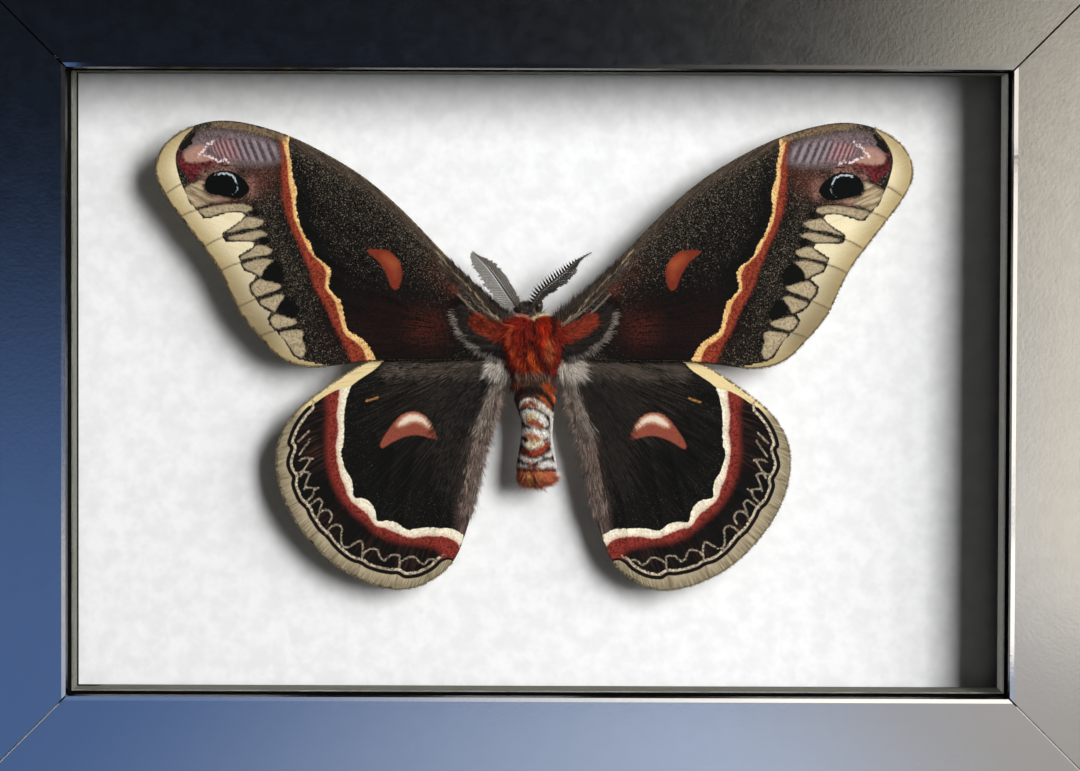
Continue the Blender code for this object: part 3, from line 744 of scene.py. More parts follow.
ZIGZAG = (
    ((758, 432), (763, 437), (769, 443)), ((757, 440), (762, 448), (768, 456)),
    ((754, 460), (762, 459), (768, 462)), ((757, 461), (761, 468), (767, 474), (772, 474)),
    ((756, 475), (763, 473), (767, 478)), ((758, 476), (761, 484), (763, 491)),
    ((748, 489), (752, 491), (755, 498), (761, 503)), ((752, 490), (760, 489)),
    ((744, 504), (748, 500), (754, 504), (760, 508)), ((745, 505), (748, 513)),
    ((738, 524), (735, 517), (740, 511), (747, 514), (750, 520)),
    ((742, 537), (738, 530), (731, 526), (725, 529), (726, 538), (725, 547), (720, 549), (712, 545),
     (706, 542), (704, 549), (705, 560)),
    ((704, 556), (700, 552), (694, 550), (689, 552), (687, 559), (682, 562), (677, 557), (670, 556),
     (667, 559), (668, 572)),
    ((667, 564), (661, 560), (653, 558), (649, 562), (643, 566), (638, 561), (632, 561)),
)
HIND_TICKS = (
    ((779, 447), (790, 450)), ((776, 478), (788, 481)), ((768, 503), (780, 509)),
    ((748, 532), (759, 541)), ((728, 553), (737, 564)), ((706, 565), (711, 578)),
    ((669, 575), (672, 589)), ((640, 574), (636, 583)), ((752, 404), (760, 398)),
)
ORANGE_TICK = (((689, 398), (694, 400), (701, 402)),)
HIND_INNER = ((575, 372), (588, 400), (597, 440), (602, 470), (606, 500), (608, 530), (606, 560))


# Marks that shaders read, by name: distances past an edge across the wing, from closed rings and
# from lines, and soft spots as (pixel x, pixel y, radius in pixels, strength).
FORE_EDGES = {"cream_edge": CREAM_EDGE, "red_edge": RED_EDGE, "red_end": RED_END}
FORE_RINGS = {"teeth": TEETH, "eye": (EYESPOT,), "beige": (BEIGE,), "lavender": (LAVENDER,),
              "pink": (PINK,), "spear": SPEARS, "crimson": CRIMSON, "base_red": BASE_RED}
FORE_LINES = {"painted_gleam": PAINTED_GLEAMS, "base_hair": BASE_HAIR, "base_line": BASE_LINE}
FORE_SPOTS = {
    "lunule_core": ((673, 265, 9, 0.7), (683, 257, 8, 0.5), (672, 278, 6, 0.4)),
    "dull_band": ((830, 292, 34, 0.35), (803, 334, 34, 0.55)),
    "rust": ((613, 288, 8, 0.9), (640, 328, 20, 0.5), (803, 183, 14, 0.3), (815, 176, 16, 0.2),
             (790, 170, 10, 0.2), (835, 203, 14, 0.3), (630, 270, 14, 0.25), (700, 330, 40, 0.10)),
    "wedge": ((795, 272, 10, 1.2), (790, 280, 8, 0.8), (780, 308, 9, 1.2), (774, 314, 6, 0.8),
              (803, 242, 5, 1.0), (800, 270, 8, 0.8), (812, 214, 5, 0.8), (612, 303, 8, 1.0),
              (620, 318, 5, 0.8), (796, 252, 4, 0.7), (800, 228, 4, 0.6), (762, 340, 5, 0.6)),
    "ribbed": ((798, 154, 9, 0.8), (812, 152, 10, 0.9), (826, 150, 10, 0.8), (840, 151, 9, 0.7),
               (850, 150, 7, 0.5)),
    "blush": ((838, 171, 7, 0.6), (850, 172, 6, 0.6), (862, 176, 5, 0.6), (816, 184, 6, 0.5),
              (815, 194, 5, 0.5), (848, 201, 6, 0.5)),
}
HIND_EDGES = {"white_edge": WHITE_EDGE, "white_end": WHITE_END, "red_end": HIND_RED_END}
HIND_RINGS = {"lunule": HIND_LUNULE, "lunule_white": LUNULE_WHITE}
HIND_LINES = {"orange_tick": ORANGE_TICK}
HIND_SPOTS = {
    "shade": ((660, 452, 26, 0.9), (735, 530, 12, 0.4)),
    "warm": ((745, 415, 14, 0.35), (748, 455, 16, 0.3), (760, 440, 10, 0.3), (740, 525, 14, 0.25),
             (700, 552, 14, 0.2), (655, 560, 16, 0.3), (612, 556, 10, 0.8)),
}


def drawn_marks(points, outline, edges, rings, lines, spots):
    """The marks of a wing's tables, and the distance from its rim."""
    return {
        "rim": off_line(points, looped(outline))[0],
        **{name: beyond(points, line) for name, line in edges.items()},
        **{name: off_rings(points, drawn) for name, drawn in rings.items()},
        **{name: off_lines(points, drawn) for name, drawn in lines.items()},
        **{name: blobs(points, drawn) for name, drawn in spots.items()},
    }


WAVY_TOP = 186                # pixel row below which the wavy line is drawn in ink
CRESCENT_TOP = 176            # pixel row below which the crescent thins out
CRESCENT_HALF = 0.17          # half its width there
RIB_PIXELS = 950              # the lavender ribs close up towards x + RIB_SLANT * y = this
RIB_SLANT = 0.4
RIB_LEAST = 32                # but no nearer than this
RIBS = 10                     # ribs each time that distance grows by the factor e
UNDRAWN = 9.0                 # a distance too large to be drawn


def forewing_marks(points, outline):
    marks = drawn_marks(points, outline, FORE_EDGES, FORE_RINGS, FORE_LINES, FORE_SPOTS)
    px = to_pixels(points)
    x, y = px.T
    wavy = off_lines(points, (WAVY,))
    costa = off_line(points, smooth(plan(FORE_COSTA), 6))[0]
    thinned = 0.008 * np.maximum(y - CRESCENT_TOP, 0)
    marks.update({
        "lunule": off_ring(points, smooth(plan(FORE_LUNULE), 5, True)),
        "band": beyond(points, BAND_START + WAVY, 4),
        "crescent": off_lines(points, (CRESCENT,)) - CRESCENT_HALF + thinned,
        "costa": costa,
        "speck": forewing_speck(px, costa),
        "rib": -RIBS * np.log(np.maximum(RIB_PIXELS - x - RIB_SLANT * y, RIB_LEAST)),
        "tick": off_lines(points, TICKS, 3),
        "ink": np.min([
            np.where(y > WAVY_TOP, wavy, UNDRAWN) - 0.11,
            off_lines(points, TOOTH_VEINS) - np.clip(0.045 * wavy, 0.05, 0.18),
            off_lines(points, EYE_VEIN) - 0.06,
            off_rings(points, (DASH,)) - 0.05,
        ], axis=0),
    })
    return marks


DARK_FIELD = (680, 330)       # middle and reach of the forewing's dark field, by pixels
DARK_REACH = (75, 42)


def forewing_speck(px, costa):
    """How thick the pale scales lie: dense at the costa, thin in the dark middle field."""
    near_costa = np.exp(-costa / 4.5)
    dark_middle = np.exp(-(((px - DARK_FIELD) / DARK_REACH) ** 2).sum(1))
    edge_x, edge_y = np.transpose(CREAM_EDGE)
    past = px[:, 0] - np.interp(px[:, 1], edge_y, edge_x)
    before_line = np.exp(-((past + 6) / 9) ** 2)
    outer = 1 / (1 + np.exp(-(past - 22) / 4))
    return np.clip(0.12 + 0.34 * near_costa - 0.22 * dark_middle - 0.12 * before_line
                   + 0.16 * outer, 0.0, 0.6)


OUTER_REACH = 3.0             # farther than this from the outer line only the side counts


def hindwing_marks(points, outline):
    marks = drawn_marks(points, outline, HIND_EDGES, HIND_RINGS, HIND_LINES, HIND_SPOTS)
    outer = beyond(points, OUTER_LINE, 4)
    marks.update({
        "outer": np.clip(outer, -OUTER_REACH, OUTER_REACH),
        "band": beyond(points, COSTAL_EDGE + OUTER_LINE, 4),
        "zigzag": off_lines(points, ZIGZAG, 2),
        "tick": off_lines(points, HIND_TICKS, 1),
        "inner": beyond(points, HIND_INNER),
    })
    return marks


STREAM_WIDTH = 30.0           # millimetres of flow for each radian round the wing's root
STREAM_SHIFT = 7.0            # sets the left wings' streaks apart from the right ones'


def flow(points, root):
    """Radius and turn about the wing's root in millimetres, along which scales and hairs lie."""
    gap = points - root
    radius = np.linalg.norm(gap, axis=1)
    turn = np.arctan2(gap[:, 1], gap[:, 0])
    return np.column_stack([radius, turn * STREAM_WIDTH, np.zeros(len(points))])


# Wing materials.

class WingShader(Shader):
    """Wing scales: a grain, edges jagged by it, and streaks along the wing's flow."""

    def __init__(self, name):
        super().__init__(name, Specular_IOR_Level=0.04)
        self.flow = self.attribute("flow", "Vector")
        self.grain = self.noise(2.4, 3.0, 0.65)
        self.jag = self.times(self.add(self.grain, -0.5), 0.9)
        self.streak = self.noise(1.0, 4.0, 0.65, self.stretched((0.16, 2.6, 1.0), self.flow))

    def jagged(self, mark, jag):
        """A mark's distance, made uneven by the grain."""
        return self.add(self.attribute(mark), self.times(self.jag, jag))

    def over(self, color, mark, low, high, tone, jag):
        """Lay a tone where a mark's jagged distance passes from low to high."""
        return self.mix(self.step(self.jagged(mark, jag), low, high), color, tone)

    def speckled(self, density, dark, per_mm=6.8):
        """Dark ground with single pale scales, grey, brown and buff."""
        _, chance, hue = self.cells(per_mm)
        _, chance_small, hue_small = self.cells(per_mm * 1.7)
        tone = self.mix(self.step(hue, 0.3, 0.9), (62, 50, 40), (126, 115, 99))
        small = self.mix(hue_small, (46, 36, 30), (78, 68, 58))
        lit = self.step(self.add(chance, density), 0.97, 1.15)
        density_small = self.times(density, 0.9)
        lit_small = self.step(self.add(chance_small, density_small), 0.95, 1.15)
        color = self.mix(self.times(lit_small, 0.75), dark, small)
        return self.mix(self.times(lit, 0.85), color, tone)

    def finish_scales(self, color, extra=None):
        """Browner underside, and overlapping rows of scales as fine relief over a softer one."""
        color = self.mix(self.times(self.attribute("under"), 0.35), color, (110, 84, 72))
        distance, _, _ = self.cells(5.0)
        rows = self.noise(1.0, 3.0, 0.6, self.stretched((0.25, 4.0, 1.0), self.flow))
        height = self.add(self.times(distance, 0.5), self.times(self.noise(1.6, 3.0), 0.7))
        height = self.add(height, self.times(rows, 0.6))
        if extra is not None:
            height = self.add(height, extra)
        roughness = self.add(self.times(self.grain, 0.25), 0.55)
        return self.finish(color, roughness, self.bump(height, 0.10, 0.75))


def forewing_material():
    s = WingShader("forewing_scales")
    wedge = s.step(s.jagged("wedge", 2.2), 0.35, 0.7)
    density = s.math("SUBTRACT", s.attribute("speck"), wedge)
    ground = s.speckled(density, (9, 6, 6))
    brown = s.mix(s.step(s.streak, 0.35, 0.7), (50, 40, 34), (96, 82, 69))
    color = s.mix(s.times(s.step(s.jagged("costa", 2.0), 2.6, 0.3), 0.75), ground, brown)
    # painted highlight: a thin pale line along the costal edge
    edge = s.times(s.step(s.attribute("rim"), 0.34, 0.10), s.step(s.attribute("costa"), 1.6, 0.8))
    color = s.mix(s.times(edge, 0.6), color, (158, 138, 104))
    rust = s.times(s.attribute("rust"), s.step(s.add(s.grain, s.streak), 0.85, 1.12))
    color = s.mix(rust, color, (100, 40, 30))
    color = s.over(color, "spear", 0.12, -0.12, (7, 6, 6), 0.7)

    line = s.step(s.jagged("base_line", 0.3), 0.30, 0.10)
    color = s.mix(s.times(line, 0.6), color, (128, 116, 102))
    red = s.mix(s.streak, (76, 24, 14), (130, 46, 26))
    color = s.over(color, "base_red", 0.25, -0.35, red, 1.2)
    pale_hair = s.mix(s.step(s.streak, 0.4, 0.65), (58, 50, 46), (142, 132, 124))
    color = s.over(color, "base_hair", 0.60, 0.10, pale_hair, 1.2)

    cream = s.mix(s.step(s.grain, 0.35, 0.65), (200, 142, 78), (236, 204, 142))
    color = s.over(color, "cream_edge", -0.02, 0.16, cream, 1.0)
    fleck = s.noise(6.0, 2.0)
    brick = s.mix(s.step(s.grain, 0.36, 0.62), (92, 30, 20), (158, 62, 40))
    brick = s.mix(s.times(s.step(fleck, 0.58, 0.70), 0.5), brick, (186, 112, 84))
    brick = s.mix(s.times(s.step(s.noise(2.2, 3.0), 0.47, 0.36), 0.6), brick, (70, 24, 17))
    color = s.over(color, "red_edge", -0.20, 0.10, brick, 1.5)
    after = s.mix(s.times(s.attribute("rust"), 0.8), ground, (104, 50, 38))
    color = s.over(color, "red_end", -0.45, 0.35, after, 2.8)

    lunule_edge = s.mix(s.grain, (98, 32, 20), (128, 50, 32))
    lunule = s.mix(s.step(s.attribute("lunule_core"), 0.2, 0.95), lunule_edge, (156, 76, 44))
    color = s.over(color, "lunule", 0.16, -0.20, lunule, 0.5)

    # The ribs are relief. Their darker valley tone and lighter ridge tone are painted shade and
    # painted light over the tip's own lavender.
    ribs = s.math("SINE", s.times(s.attribute("rib"), 2 * math.pi))
    ribs = s.add(s.step(ribs, -0.9, 0.9), s.times(s.jag, 1.9))
    rosy = s.step(s.attribute("rib"), -42.2, -39.4)
    plain = s.mix(s.step(s.grain, 0.35, 0.65), (78, 64, 66), (128, 110, 112))
    shaded_valley = s.mix(rosy, (78, 62, 68), (102, 64, 68))
    ridge = s.mix(rosy, (142, 131, 135), (164, 128, 129))
    lilac = s.mix(ribs, shaded_valley, ridge)
    lilac = s.mix(s.step(s.attribute("ribbed"), 0.1, 0.65), plain, lilac)
    color = s.over(color, "lavender", 0.7, -1.1, lilac, 2.2)
    tan = s.mix(s.step(s.grain, 0.35, 0.65), (84, 68, 54), (138, 116, 88))
    tip = s.step(s.attribute("cream_edge"), 0.2, 0.8)
    tip = s.times(s.step(s.attribute("costa"), 1.5, 0.9), tip)
    color = s.mix(s.times(tip, 0.85), color, tan)
    pink = s.mix(s.grain, (140, 92, 86), (190, 154, 134))
    color = s.over(color, "pink", 0.55, -0.45, pink, 1.6)
    wine = s.mix(s.step(s.grain, 0.36, 0.66), (62, 16, 22), (124, 44, 48))
    wine = s.mix(s.times(s.step(s.streak, 0.50, 0.40), 0.7), wine, (30, 10, 13))
    color = s.over(color, "crimson", 0.35, -0.35, wine, 2.2)
    # painted highlight: pale glints laid along the tip's lines
    color = s.over(color, "painted_gleam", 0.26, 0.06, (228, 206, 208), 1.7)

    sand = s.mix(s.step(s.streak, 0.38, 0.62), (124, 104, 82), (190, 170, 136))
    color = s.over(color, "beige", 0.30, -0.50, sand, 1.2)
    teeth = s.mix(s.step(s.grain, 0.35, 0.65), (140, 124, 98), (186, 170, 138))
    color = s.over(color, "teeth", 0.10, -0.30, teeth, 1.2)
    blush = s.mix(s.grain, (150, 84, 80), (196, 150, 134))
    color = s.mix(s.times(s.attribute("blush"), s.step(s.grain, 0.3, 0.6)), color, blush)
    color = s.over(color, "eye", 0.10, -0.10, (5, 4, 5), 0.4)
    color = s.over(color, "crescent", 0.10, -0.06, (176, 190, 196), 0.7)

    rim = s.jagged("rim", 1.2)
    band = s.mix(s.step(rim, 0.2, 5.0), (176, 156, 112), (234, 221, 184))
    band = s.mix(s.times(s.step(s.streak, 0.45, 0.7), 0.30), band, (206, 184, 140))
    band = s.mix(s.attribute("dull_band"), band, (104, 90, 68))
    band = s.mix(s.times(s.step(s.attribute("tick"), 0.30, 0.06), 0.7), band, (96, 76, 54))
    band = s.mix(s.step(rim, 0.45, 0.0), band, (136, 122, 92))
    color = s.over(color, "band", -0.10, 0.06, band, 0.1)
    color = s.over(color, "ink", 0.08, -0.04, (22, 16, 14), 0.35)

    rib_height = s.times(s.step(s.attribute("lavender"), 0.0, -0.8), s.times(ribs, 0.6))
    return s.finish_scales(color, rib_height)


def hindwing_material():
    s = WingShader("hindwing_scales")
    radius = s.node("ShaderNodeSeparateXYZ", {0: s.flow}).outputs[0]
    hairy = s.step(radius, 34.0, 6.0)
    shade = s.times(s.attribute("shade"), 0.3)
    ground = s.speckled(s.math("SUBTRACT", s.times(s.streak, 0.11), shade), (9, 7, 7))
    ground = s.mix(s.times(s.step(s.streak, 0.5, 0.75), 0.35), ground, (52, 42, 36))
    olive = s.mix(s.step(s.streak, 0.42, 0.68), (20, 16, 15), (66, 55, 46))
    color = s.mix(s.times(hairy, s.step(s.streak, 0.35, 0.6)), ground, olive)
    rose = s.mix(s.step(s.streak, 0.35, 0.65), (60, 46, 44), (116, 94, 88))
    color = s.over(color, "inner", 1.6, -1.4, rose, 3.0)
    color = s.over(color, "orange_tick", 0.30, 0.05, (168, 116, 62), 0.3)
    warm = s.attribute("warm")
    color = s.mix(s.times(warm, s.step(s.grain, 0.42, 0.6)), color, (120, 66, 54))

    rim_orange = s.mix(s.grain, (108, 48, 36), (156, 82, 64))
    color = s.over(color, "lunule", 0.18, -0.20, rim_orange, 0.5)
    blush = s.mix(s.grain, (156, 96, 72), (186, 134, 106))
    color = s.over(color, "lunule_white", 0.75, 0.20, blush, 1.1)
    milk = s.mix(s.grain, (204, 180, 160), (238, 224, 204))
    color = s.over(color, "lunule_white", 0.35, -0.25, milk, 1.1)

    milk_band = s.mix(s.step(s.grain, 0.35, 0.6), (214, 200, 172), (244, 238, 216))
    whole = s.over(color, "white_edge", -0.06, 0.10, milk_band, 0.6)
    brick = s.mix(s.step(s.grain, 0.36, 0.62), (86, 25, 21), (142, 54, 44))
    brick = s.mix(s.times(s.step(s.streak, 0.42, 0.30), 0.6), brick, (60, 20, 18))
    rosy = s.step(s.attribute("white_end"), -0.9, 0.1)
    whole = s.mix(s.times(rosy, 0.45), whole, (196, 128, 108))
    whole = s.over(whole, "white_end", -0.14, 0.2, brick, 1.2)
    field = s.mix(s.times(warm, s.step(s.streak, 0.45, 0.62)), (12, 9, 9), (98, 58, 48))
    line = s.mix(s.step(s.grain, 0.36, 0.64), (114, 98, 84), (220, 204, 176))
    field = s.over(field, "zigzag", 0.26, 0.04, line, 0.8)
    outer = s.jagged("outer", 0.5)
    field = s.mix(s.times(s.step(outer, -1.02, -0.82), s.step(outer, -0.38, -0.56)), field, line)
    whole = s.over(whole, "red_end", -1.1, 0.5, field, 3.0)

    rim = s.jagged("rim", 1.0)
    band = s.mix(s.step(rim, 0.3, 2.6), (124, 113, 90), (168, 153, 126))
    hatch = s.noise(1.0, 3.0, 0.6, s.stretched((0.3, 7.0, 1.0), s.flow))
    band = s.mix(s.times(s.step(hatch, 0.46, 0.62), 0.5), band, (200, 186, 154))
    band = s.mix(s.step(radius, 40.0, 36.5), band, (226, 204, 152))
    band = s.mix(s.times(s.step(s.streak, 0.5, 0.7), 0.3), band, (116, 98, 76))
    band = s.mix(s.times(s.step(s.attribute("tick"), 0.32, 0.06), 0.6), band, (92, 74, 56))
    whole = s.over(whole, "band", -0.08, 0.10, band, 0.15)
    ink = s.math("ABSOLUTE", s.attribute("outer"))
    whole = s.mix(s.step(s.add(ink, s.times(s.jag, 0.15)), 0.29, 0.13), whole, (20, 15, 14))
    return s.finish_scales(whole)


# Each kind of wing: what makes its marks, its veins, and its root as (a, b).
WINGS = {
    "forewing": (forewing_marks, FORE_VEINS, (5.0, 2.0)),
    "hindwing": (hindwing_marks, HIND_VEINS, (5.0, -1.0)),
}


def make_wings():
    """Both pairs of wings. Returns what their hair and fringes need, by kind of wing."""
    wings = {}
    materials = {"forewing": forewing_material(), "hindwing": hindwing_material()}
    for kind, (marks_of, veins, root) in WINGS.items():
        node = f"{kind}_right"
        outline = even_steps(smooth(cad_outline(node), 3, True), WING_SPACING, True)
        points, faces = plan_mesh(outline, WING_SPACING)
        marks = marks_of(points, outline)
        vein = off_lines(points, veins, 6)
        depth = cad_depth(node)
        plan_points, y, shell, front_count = wing_shell(
            points, faces, len(outline), depth, vein, marks["rim"])
        after = np.roll(outline, -1, axis=0)
        area = (outline[:, 0] * after[:, 1] - outline[:, 1] * after[:, 0]).sum()
        wings[kind] = {"points": points, "faces": faces, "front": y[:len(points)], "root": root,
                       "depth": depth, "rim": outline, "winding": np.sign(area),
                       "margin": marks["band"][:len(outline)] > 0}
        inner = np.arange(len(outline), len(points))
        marks = {key: np.concatenate([values, values[inner]]) for key, values in marks.items()}
        marks["under"] = np.concatenate([np.zeros(len(points)), np.ones(len(inner))])
        streams = flow(plan_points, np.array(root))
        uv = wing_uv(plan_points, shell, front_count)
        for side_name, side in SIDES:
            world = to_world(plan_points[:, 0], y, plan_points[:, 1], side)
            turned = side > 0
            order = shell if turned else shell[:, ::-1]
            corners = uv if turned else uv.reshape(-1, 3, 2)[:, ::-1].reshape(-1, 2)
            shifted = streams + (0, 0, STREAM_SHIFT * side)
            make_piece(f"{kind}_{side_name}_skin", world, order, materials[kind],
                       [f"{kind}_{side_name}"], marks, corners, {"flow": shifted})
    return wings


# Hair: thin closed locks that lie along a surface.

RIPPLE_WAVES = 14


def unit(vectors):
    return vectors / np.maximum(np.linalg.norm(vectors, axis=1, keepdims=True), 1e-9)


def ripple(points, wavelength, seed):
    """Smooth random field, about -1 to 1, made of sine waves in random directions."""
    rng = np.random.default_rng(seed)
    ways = rng.normal(size=(RIPPLE_WAVES, points.shape[1]))
    lengths = np.linalg.norm(ways, axis=1, keepdims=True)
    ways *= (2 * math.pi / wavelength) * rng.uniform(0.6, 1.5, (RIPPLE_WAVES, 1)) / lengths
    phases = rng.uniform(0, 2 * math.pi, RIPPLE_WAVES)
    return np.sin(points @ ways.T + phases).sum(1) / math.sqrt(RIPPLE_WAVES / 2)


def corner_normals(points, faces):
    """Normals of the points of a triangle mesh."""
    corners = points[faces]
    normals = np.cross(corners[:, 1] - corners[:, 0], corners[:, 2] - corners[:, 0])
    total = np.zeros_like(points)
    for k in range(3):
        np.add.at(total, faces[:, k], normals)
    return unit(total)


def scatter(points, faces, count, rng, weight=None):
    """Random places on triangles: the triangle and the shares of its corners."""
    corners = points[faces]
    area = np.linalg.norm(np.cross(corners[:, 1] - corners[:, 0],
                                   corners[:, 2] - corners[:, 0]), axis=1)
    if weight is not None:
        area = area * weight[faces].mean(1)
    picked = rng.choice(len(faces), count, p=area / area.sum())
    u, v = rng.random((2, count))
    flip = u + v > 1
    u, v = np.where(flip, 1 - u, u), np.where(flip, 1 - v, v)
    shares = np.column_stack([1 - u - v, u, v])
    return faces[picked], shares


def blend_at(values, corners, shares):
    """Values of the mesh's points at scattered places."""
    return (values[corners] * shares[..., None]).sum(1)


def locks(roots, normals, lie, length, width, lift, droop, bend, rows):
    """Tapering three-sided locks, each rooted at a point and bent along its lie.

    Returns their points and faces, and for each point of one lock how far it is along and
    across."""
    count = len(roots)
    normals = unit(normals)
    lie = unit(lie - normals * (lie * normals).sum(1, keepdims=True))
    side = np.cross(normals, lie)
    rings = []
    for t in np.arange(rows) / rows:
        rise = (lift * t - droop * t * t)[:, None]
        way = lie * t + normals * rise + side * (bend * t * t)[:, None]
        middle = roots + length[:, None] * way
        reach = (width / 2 * (1 - t) ** 0.6 * (0.8 + 0.6 * t))[:, None]
        rings += [middle - side * reach, middle + side * reach, middle + normals * reach * 0.7]
    end = lie + normals * (lift - droop)[:, None] + side * bend[:, None]
    rings.append(roots + length[:, None] * end)
    points = np.stack(rings, axis=1)
    pattern = [(0, 2, 1)]
    for row in range(rows):
        for k in range(3):
            a, b = 3 * row + k, 3 * row + (k + 1) % 3
            if row == rows - 1:
                pattern.append((a, b, 3 * rows))
            else:
                pattern += [(a, b, b + 3), (a, b + 3, a + 3)]
    per_lock = 3 * rows + 1
    faces = np.array(pattern)[None] + np.arange(count)[:, None, None] * per_lock
    along = np.append(np.repeat(np.arange(rows) / rows, 3), 1.0)
    across = np.append(np.tile((-1.0, 1.0, 0.0), rows), 0.0)
    return points.reshape(-1, 3), faces.reshape(-1, 3), along, across


PATCH = 0.0015                # half the size of a lock's patch on its map
COAT_LIMIT = 200000           # triangles in one piece of coat


def spread_out(places):
    """Flat places scaled to fill a map."""
    low = places.min(0)
    return (places - low) / np.ptp(places, axis=0).max() * 0.96 + 0.02


def make_coat(name, roots, normals, lie, map_places, tones, sizes, material, rows=3,
              paint=None):
    """One piece of many locks. sizes are length, width, lift, droop and bend of each lock.

    A lock has one tone, which paint, where it is given, multiplies with the tone of each place."""
    points, faces, along, across = locks(roots, normals, lie, *sizes, rows)
    if len(faces) >= COAT_LIMIT:
        raise ValueError(f"{name} has too many triangles: {len(faces)}")
    count = len(roots)
    per_lock = len(along)
    patch = np.column_stack([across, 2 * along - 1]) * PATCH
    places = (map_places[:, None] + patch[None]).reshape(-1, 2)
    colors = np.repeat(tones, per_lock, axis=0)
    if paint is not None:
        colors = colors * paint(points)
    colors = np.clip(colors, 0, 1)
    marks = {"along": np.tile(along, count)}
    return make_piece(name, points, faces, material, (), marks, places[faces.ravel()],
                      colors={"tone": colors})


def hair_material(name, sheen=0.02, root=0.54):
    """Hair in each lock's tone, silky along it, with painted shade at its root, darker by a factor.
    """
    s = Shader(name, Specular_IOR_Level=0.12, Sheen_Weight=sheen, Sheen_Roughness=0.4)
    tone = s.attribute("tone", "Color")
    # painted shade deep in the coat: each lock is darker towards its root
    depth = s.step(s.attribute("along"), -0.15, 0.45)
    low = 0.45 + 0.5 * root
    shade = s.mix(s.noise(5.0, 2.0), (low, low * 0.98, low * 0.98, 1), (1.15, 1.12, 1.10, 1))
    color = s.mix(1.0, tone, shade, "MULTIPLY")
    dark = s.mix(1.0, color, (root, root * 0.93, root * 0.87, 1), "MULTIPLY")
    color = s.mix(depth, dark, color)
    roughness = s.add(s.times(s.noise(8.0), 0.2), 0.5)
    return s.finish(color, roughness, s.bump(s.noise(9.0, 2.0), 0.02))


# The body: one skin under the coat of head, thorax and abdomen.

COAT_DEPTH = {"head": 0.35, "thorax": 0.75, "abdomen_base": 0.8, "abdomen": 0.45,
              "abdomen_tip": 0.6}
BROW_DEPTH = 1.55             # of the hair on the head's front
WAIST = (-6.2, -4.5)          # sections between these are bridged, so that no neck shows
THORAX_LEAN = -0.18           # sideways
BODY_ROWS = 110
BODY_COLUMNS = 96
BODY_SQUARENESS = 2.3
BODY_LEVELS = 400             # places along the body where its section is worked out
ROUND_REAR = 1.6              # length of the rounded end behind,
ROUND_FRONT = 1.0             # and in front
NARROWEST = 2.4               # sections of the CAD solids narrower than this are left out


def body_stations():
    """Sections of the CAD solids less the coat: b, middle x, middle y, half width, half depth."""
    stations = []
    for node, coat in COAT_DEPTH.items():
        co = np.array([vertex.co for vertex in frame["nodes"][node].data.vertices]) / MM
        levels = co[:, 2].round(2)
        for level in np.unique(levels):
            ring = co[levels == level]
            low, high = ring.min(0), ring.max(0)
            if high[0] - low[0] < NARROWEST or WAIST[0] < level - MOTH_Z < WAIST[1]:
                continue
            half = (high - low) / 2
            middle = (high + low) / 2
            lean = THORAX_LEAN if node == "thorax" else 0.0
            stations.append((level - MOTH_Z, middle[0] - MOTH_X + lean, middle[1],
                             half[0] - coat, half[1] - coat))
    return np.array(sorted(stations))


class Body:
    """The body's skin as a function of place along it and angle round it."""

    def __init__(self):
        stations = body_stations()
        self.rear = node_box("abdomen_tip")[0][2] - MOTH_Z + COAT_DEPTH["abdomen_tip"]
        self.front = node_box("head")[1][2] - MOTH_Z - BROW_DEPTH
        self.b = np.linspace(self.rear, self.front, BODY_LEVELS)
        kernel = np.exp(-np.linspace(-2.2, 2.2, 23) ** 2)
        kernel /= kernel.sum()
        self.columns = []
        for values in stations.T[1:]:
            levels = np.interp(self.b, stations[:, 0], values)
            padded = np.pad(levels, len(kernel) // 2, mode="edge")
            self.columns.append(np.convolve(padded, kernel, "valid"))
        from_rear = ramp(self.b, self.rear, ROUND_REAR)
        from_front = ramp(self.b, self.front, -ROUND_FRONT)
        ends = np.sqrt(1 - (1 - from_rear) ** 2) * np.sqrt(1 - (1 - from_front) ** 2)
        self.columns[2] = self.columns[2] * ends
        self.columns[3] = self.columns[3] * ends

    def section(self, b):
        """Middle x, middle y, half width and half depth at b."""
        return [np.interp(b, self.b, column) for column in self.columns]

    def place(self, b, turn):
        """Skin point at angle turn: 0 is the moth's right side, -90 degrees faces the glass."""
        x, y, half_x, half_y = self.section(b)
        cos, sin = np.cos(turn), np.sin(turn)
        power = 2 / BODY_SQUARENESS
        return np.column_stack([
            MOTH_X + x + half_x * np.sign(cos) * np.abs(cos) ** power,
            y + half_y * np.sign(sin) * np.abs(sin) ** power,
            MOTH_Z + b])

    def turn(self, points):
        """Angle round the body of points near it."""
        x, y, half_x, half_y = self.section(points[:, 2] - MOTH_Z)
        across = (points[:, 0] - MOTH_X - x) / np.maximum(half_x, 0.1)
        return np.arctan2((points[:, 1] - y) / np.maximum(half_y, 0.1), across)

    def map_place(self, points):
        """Unwrap of a stretch of skin: once round is the map's width, its length the height."""
        u = (self.turn(points) / (2 * math.pi)) % 1.0
        v = (points[:, 2] - points[:, 2].min()) / np.ptp(points[:, 2])
        return np.column_stack([u, v]) * 0.96 + 0.02


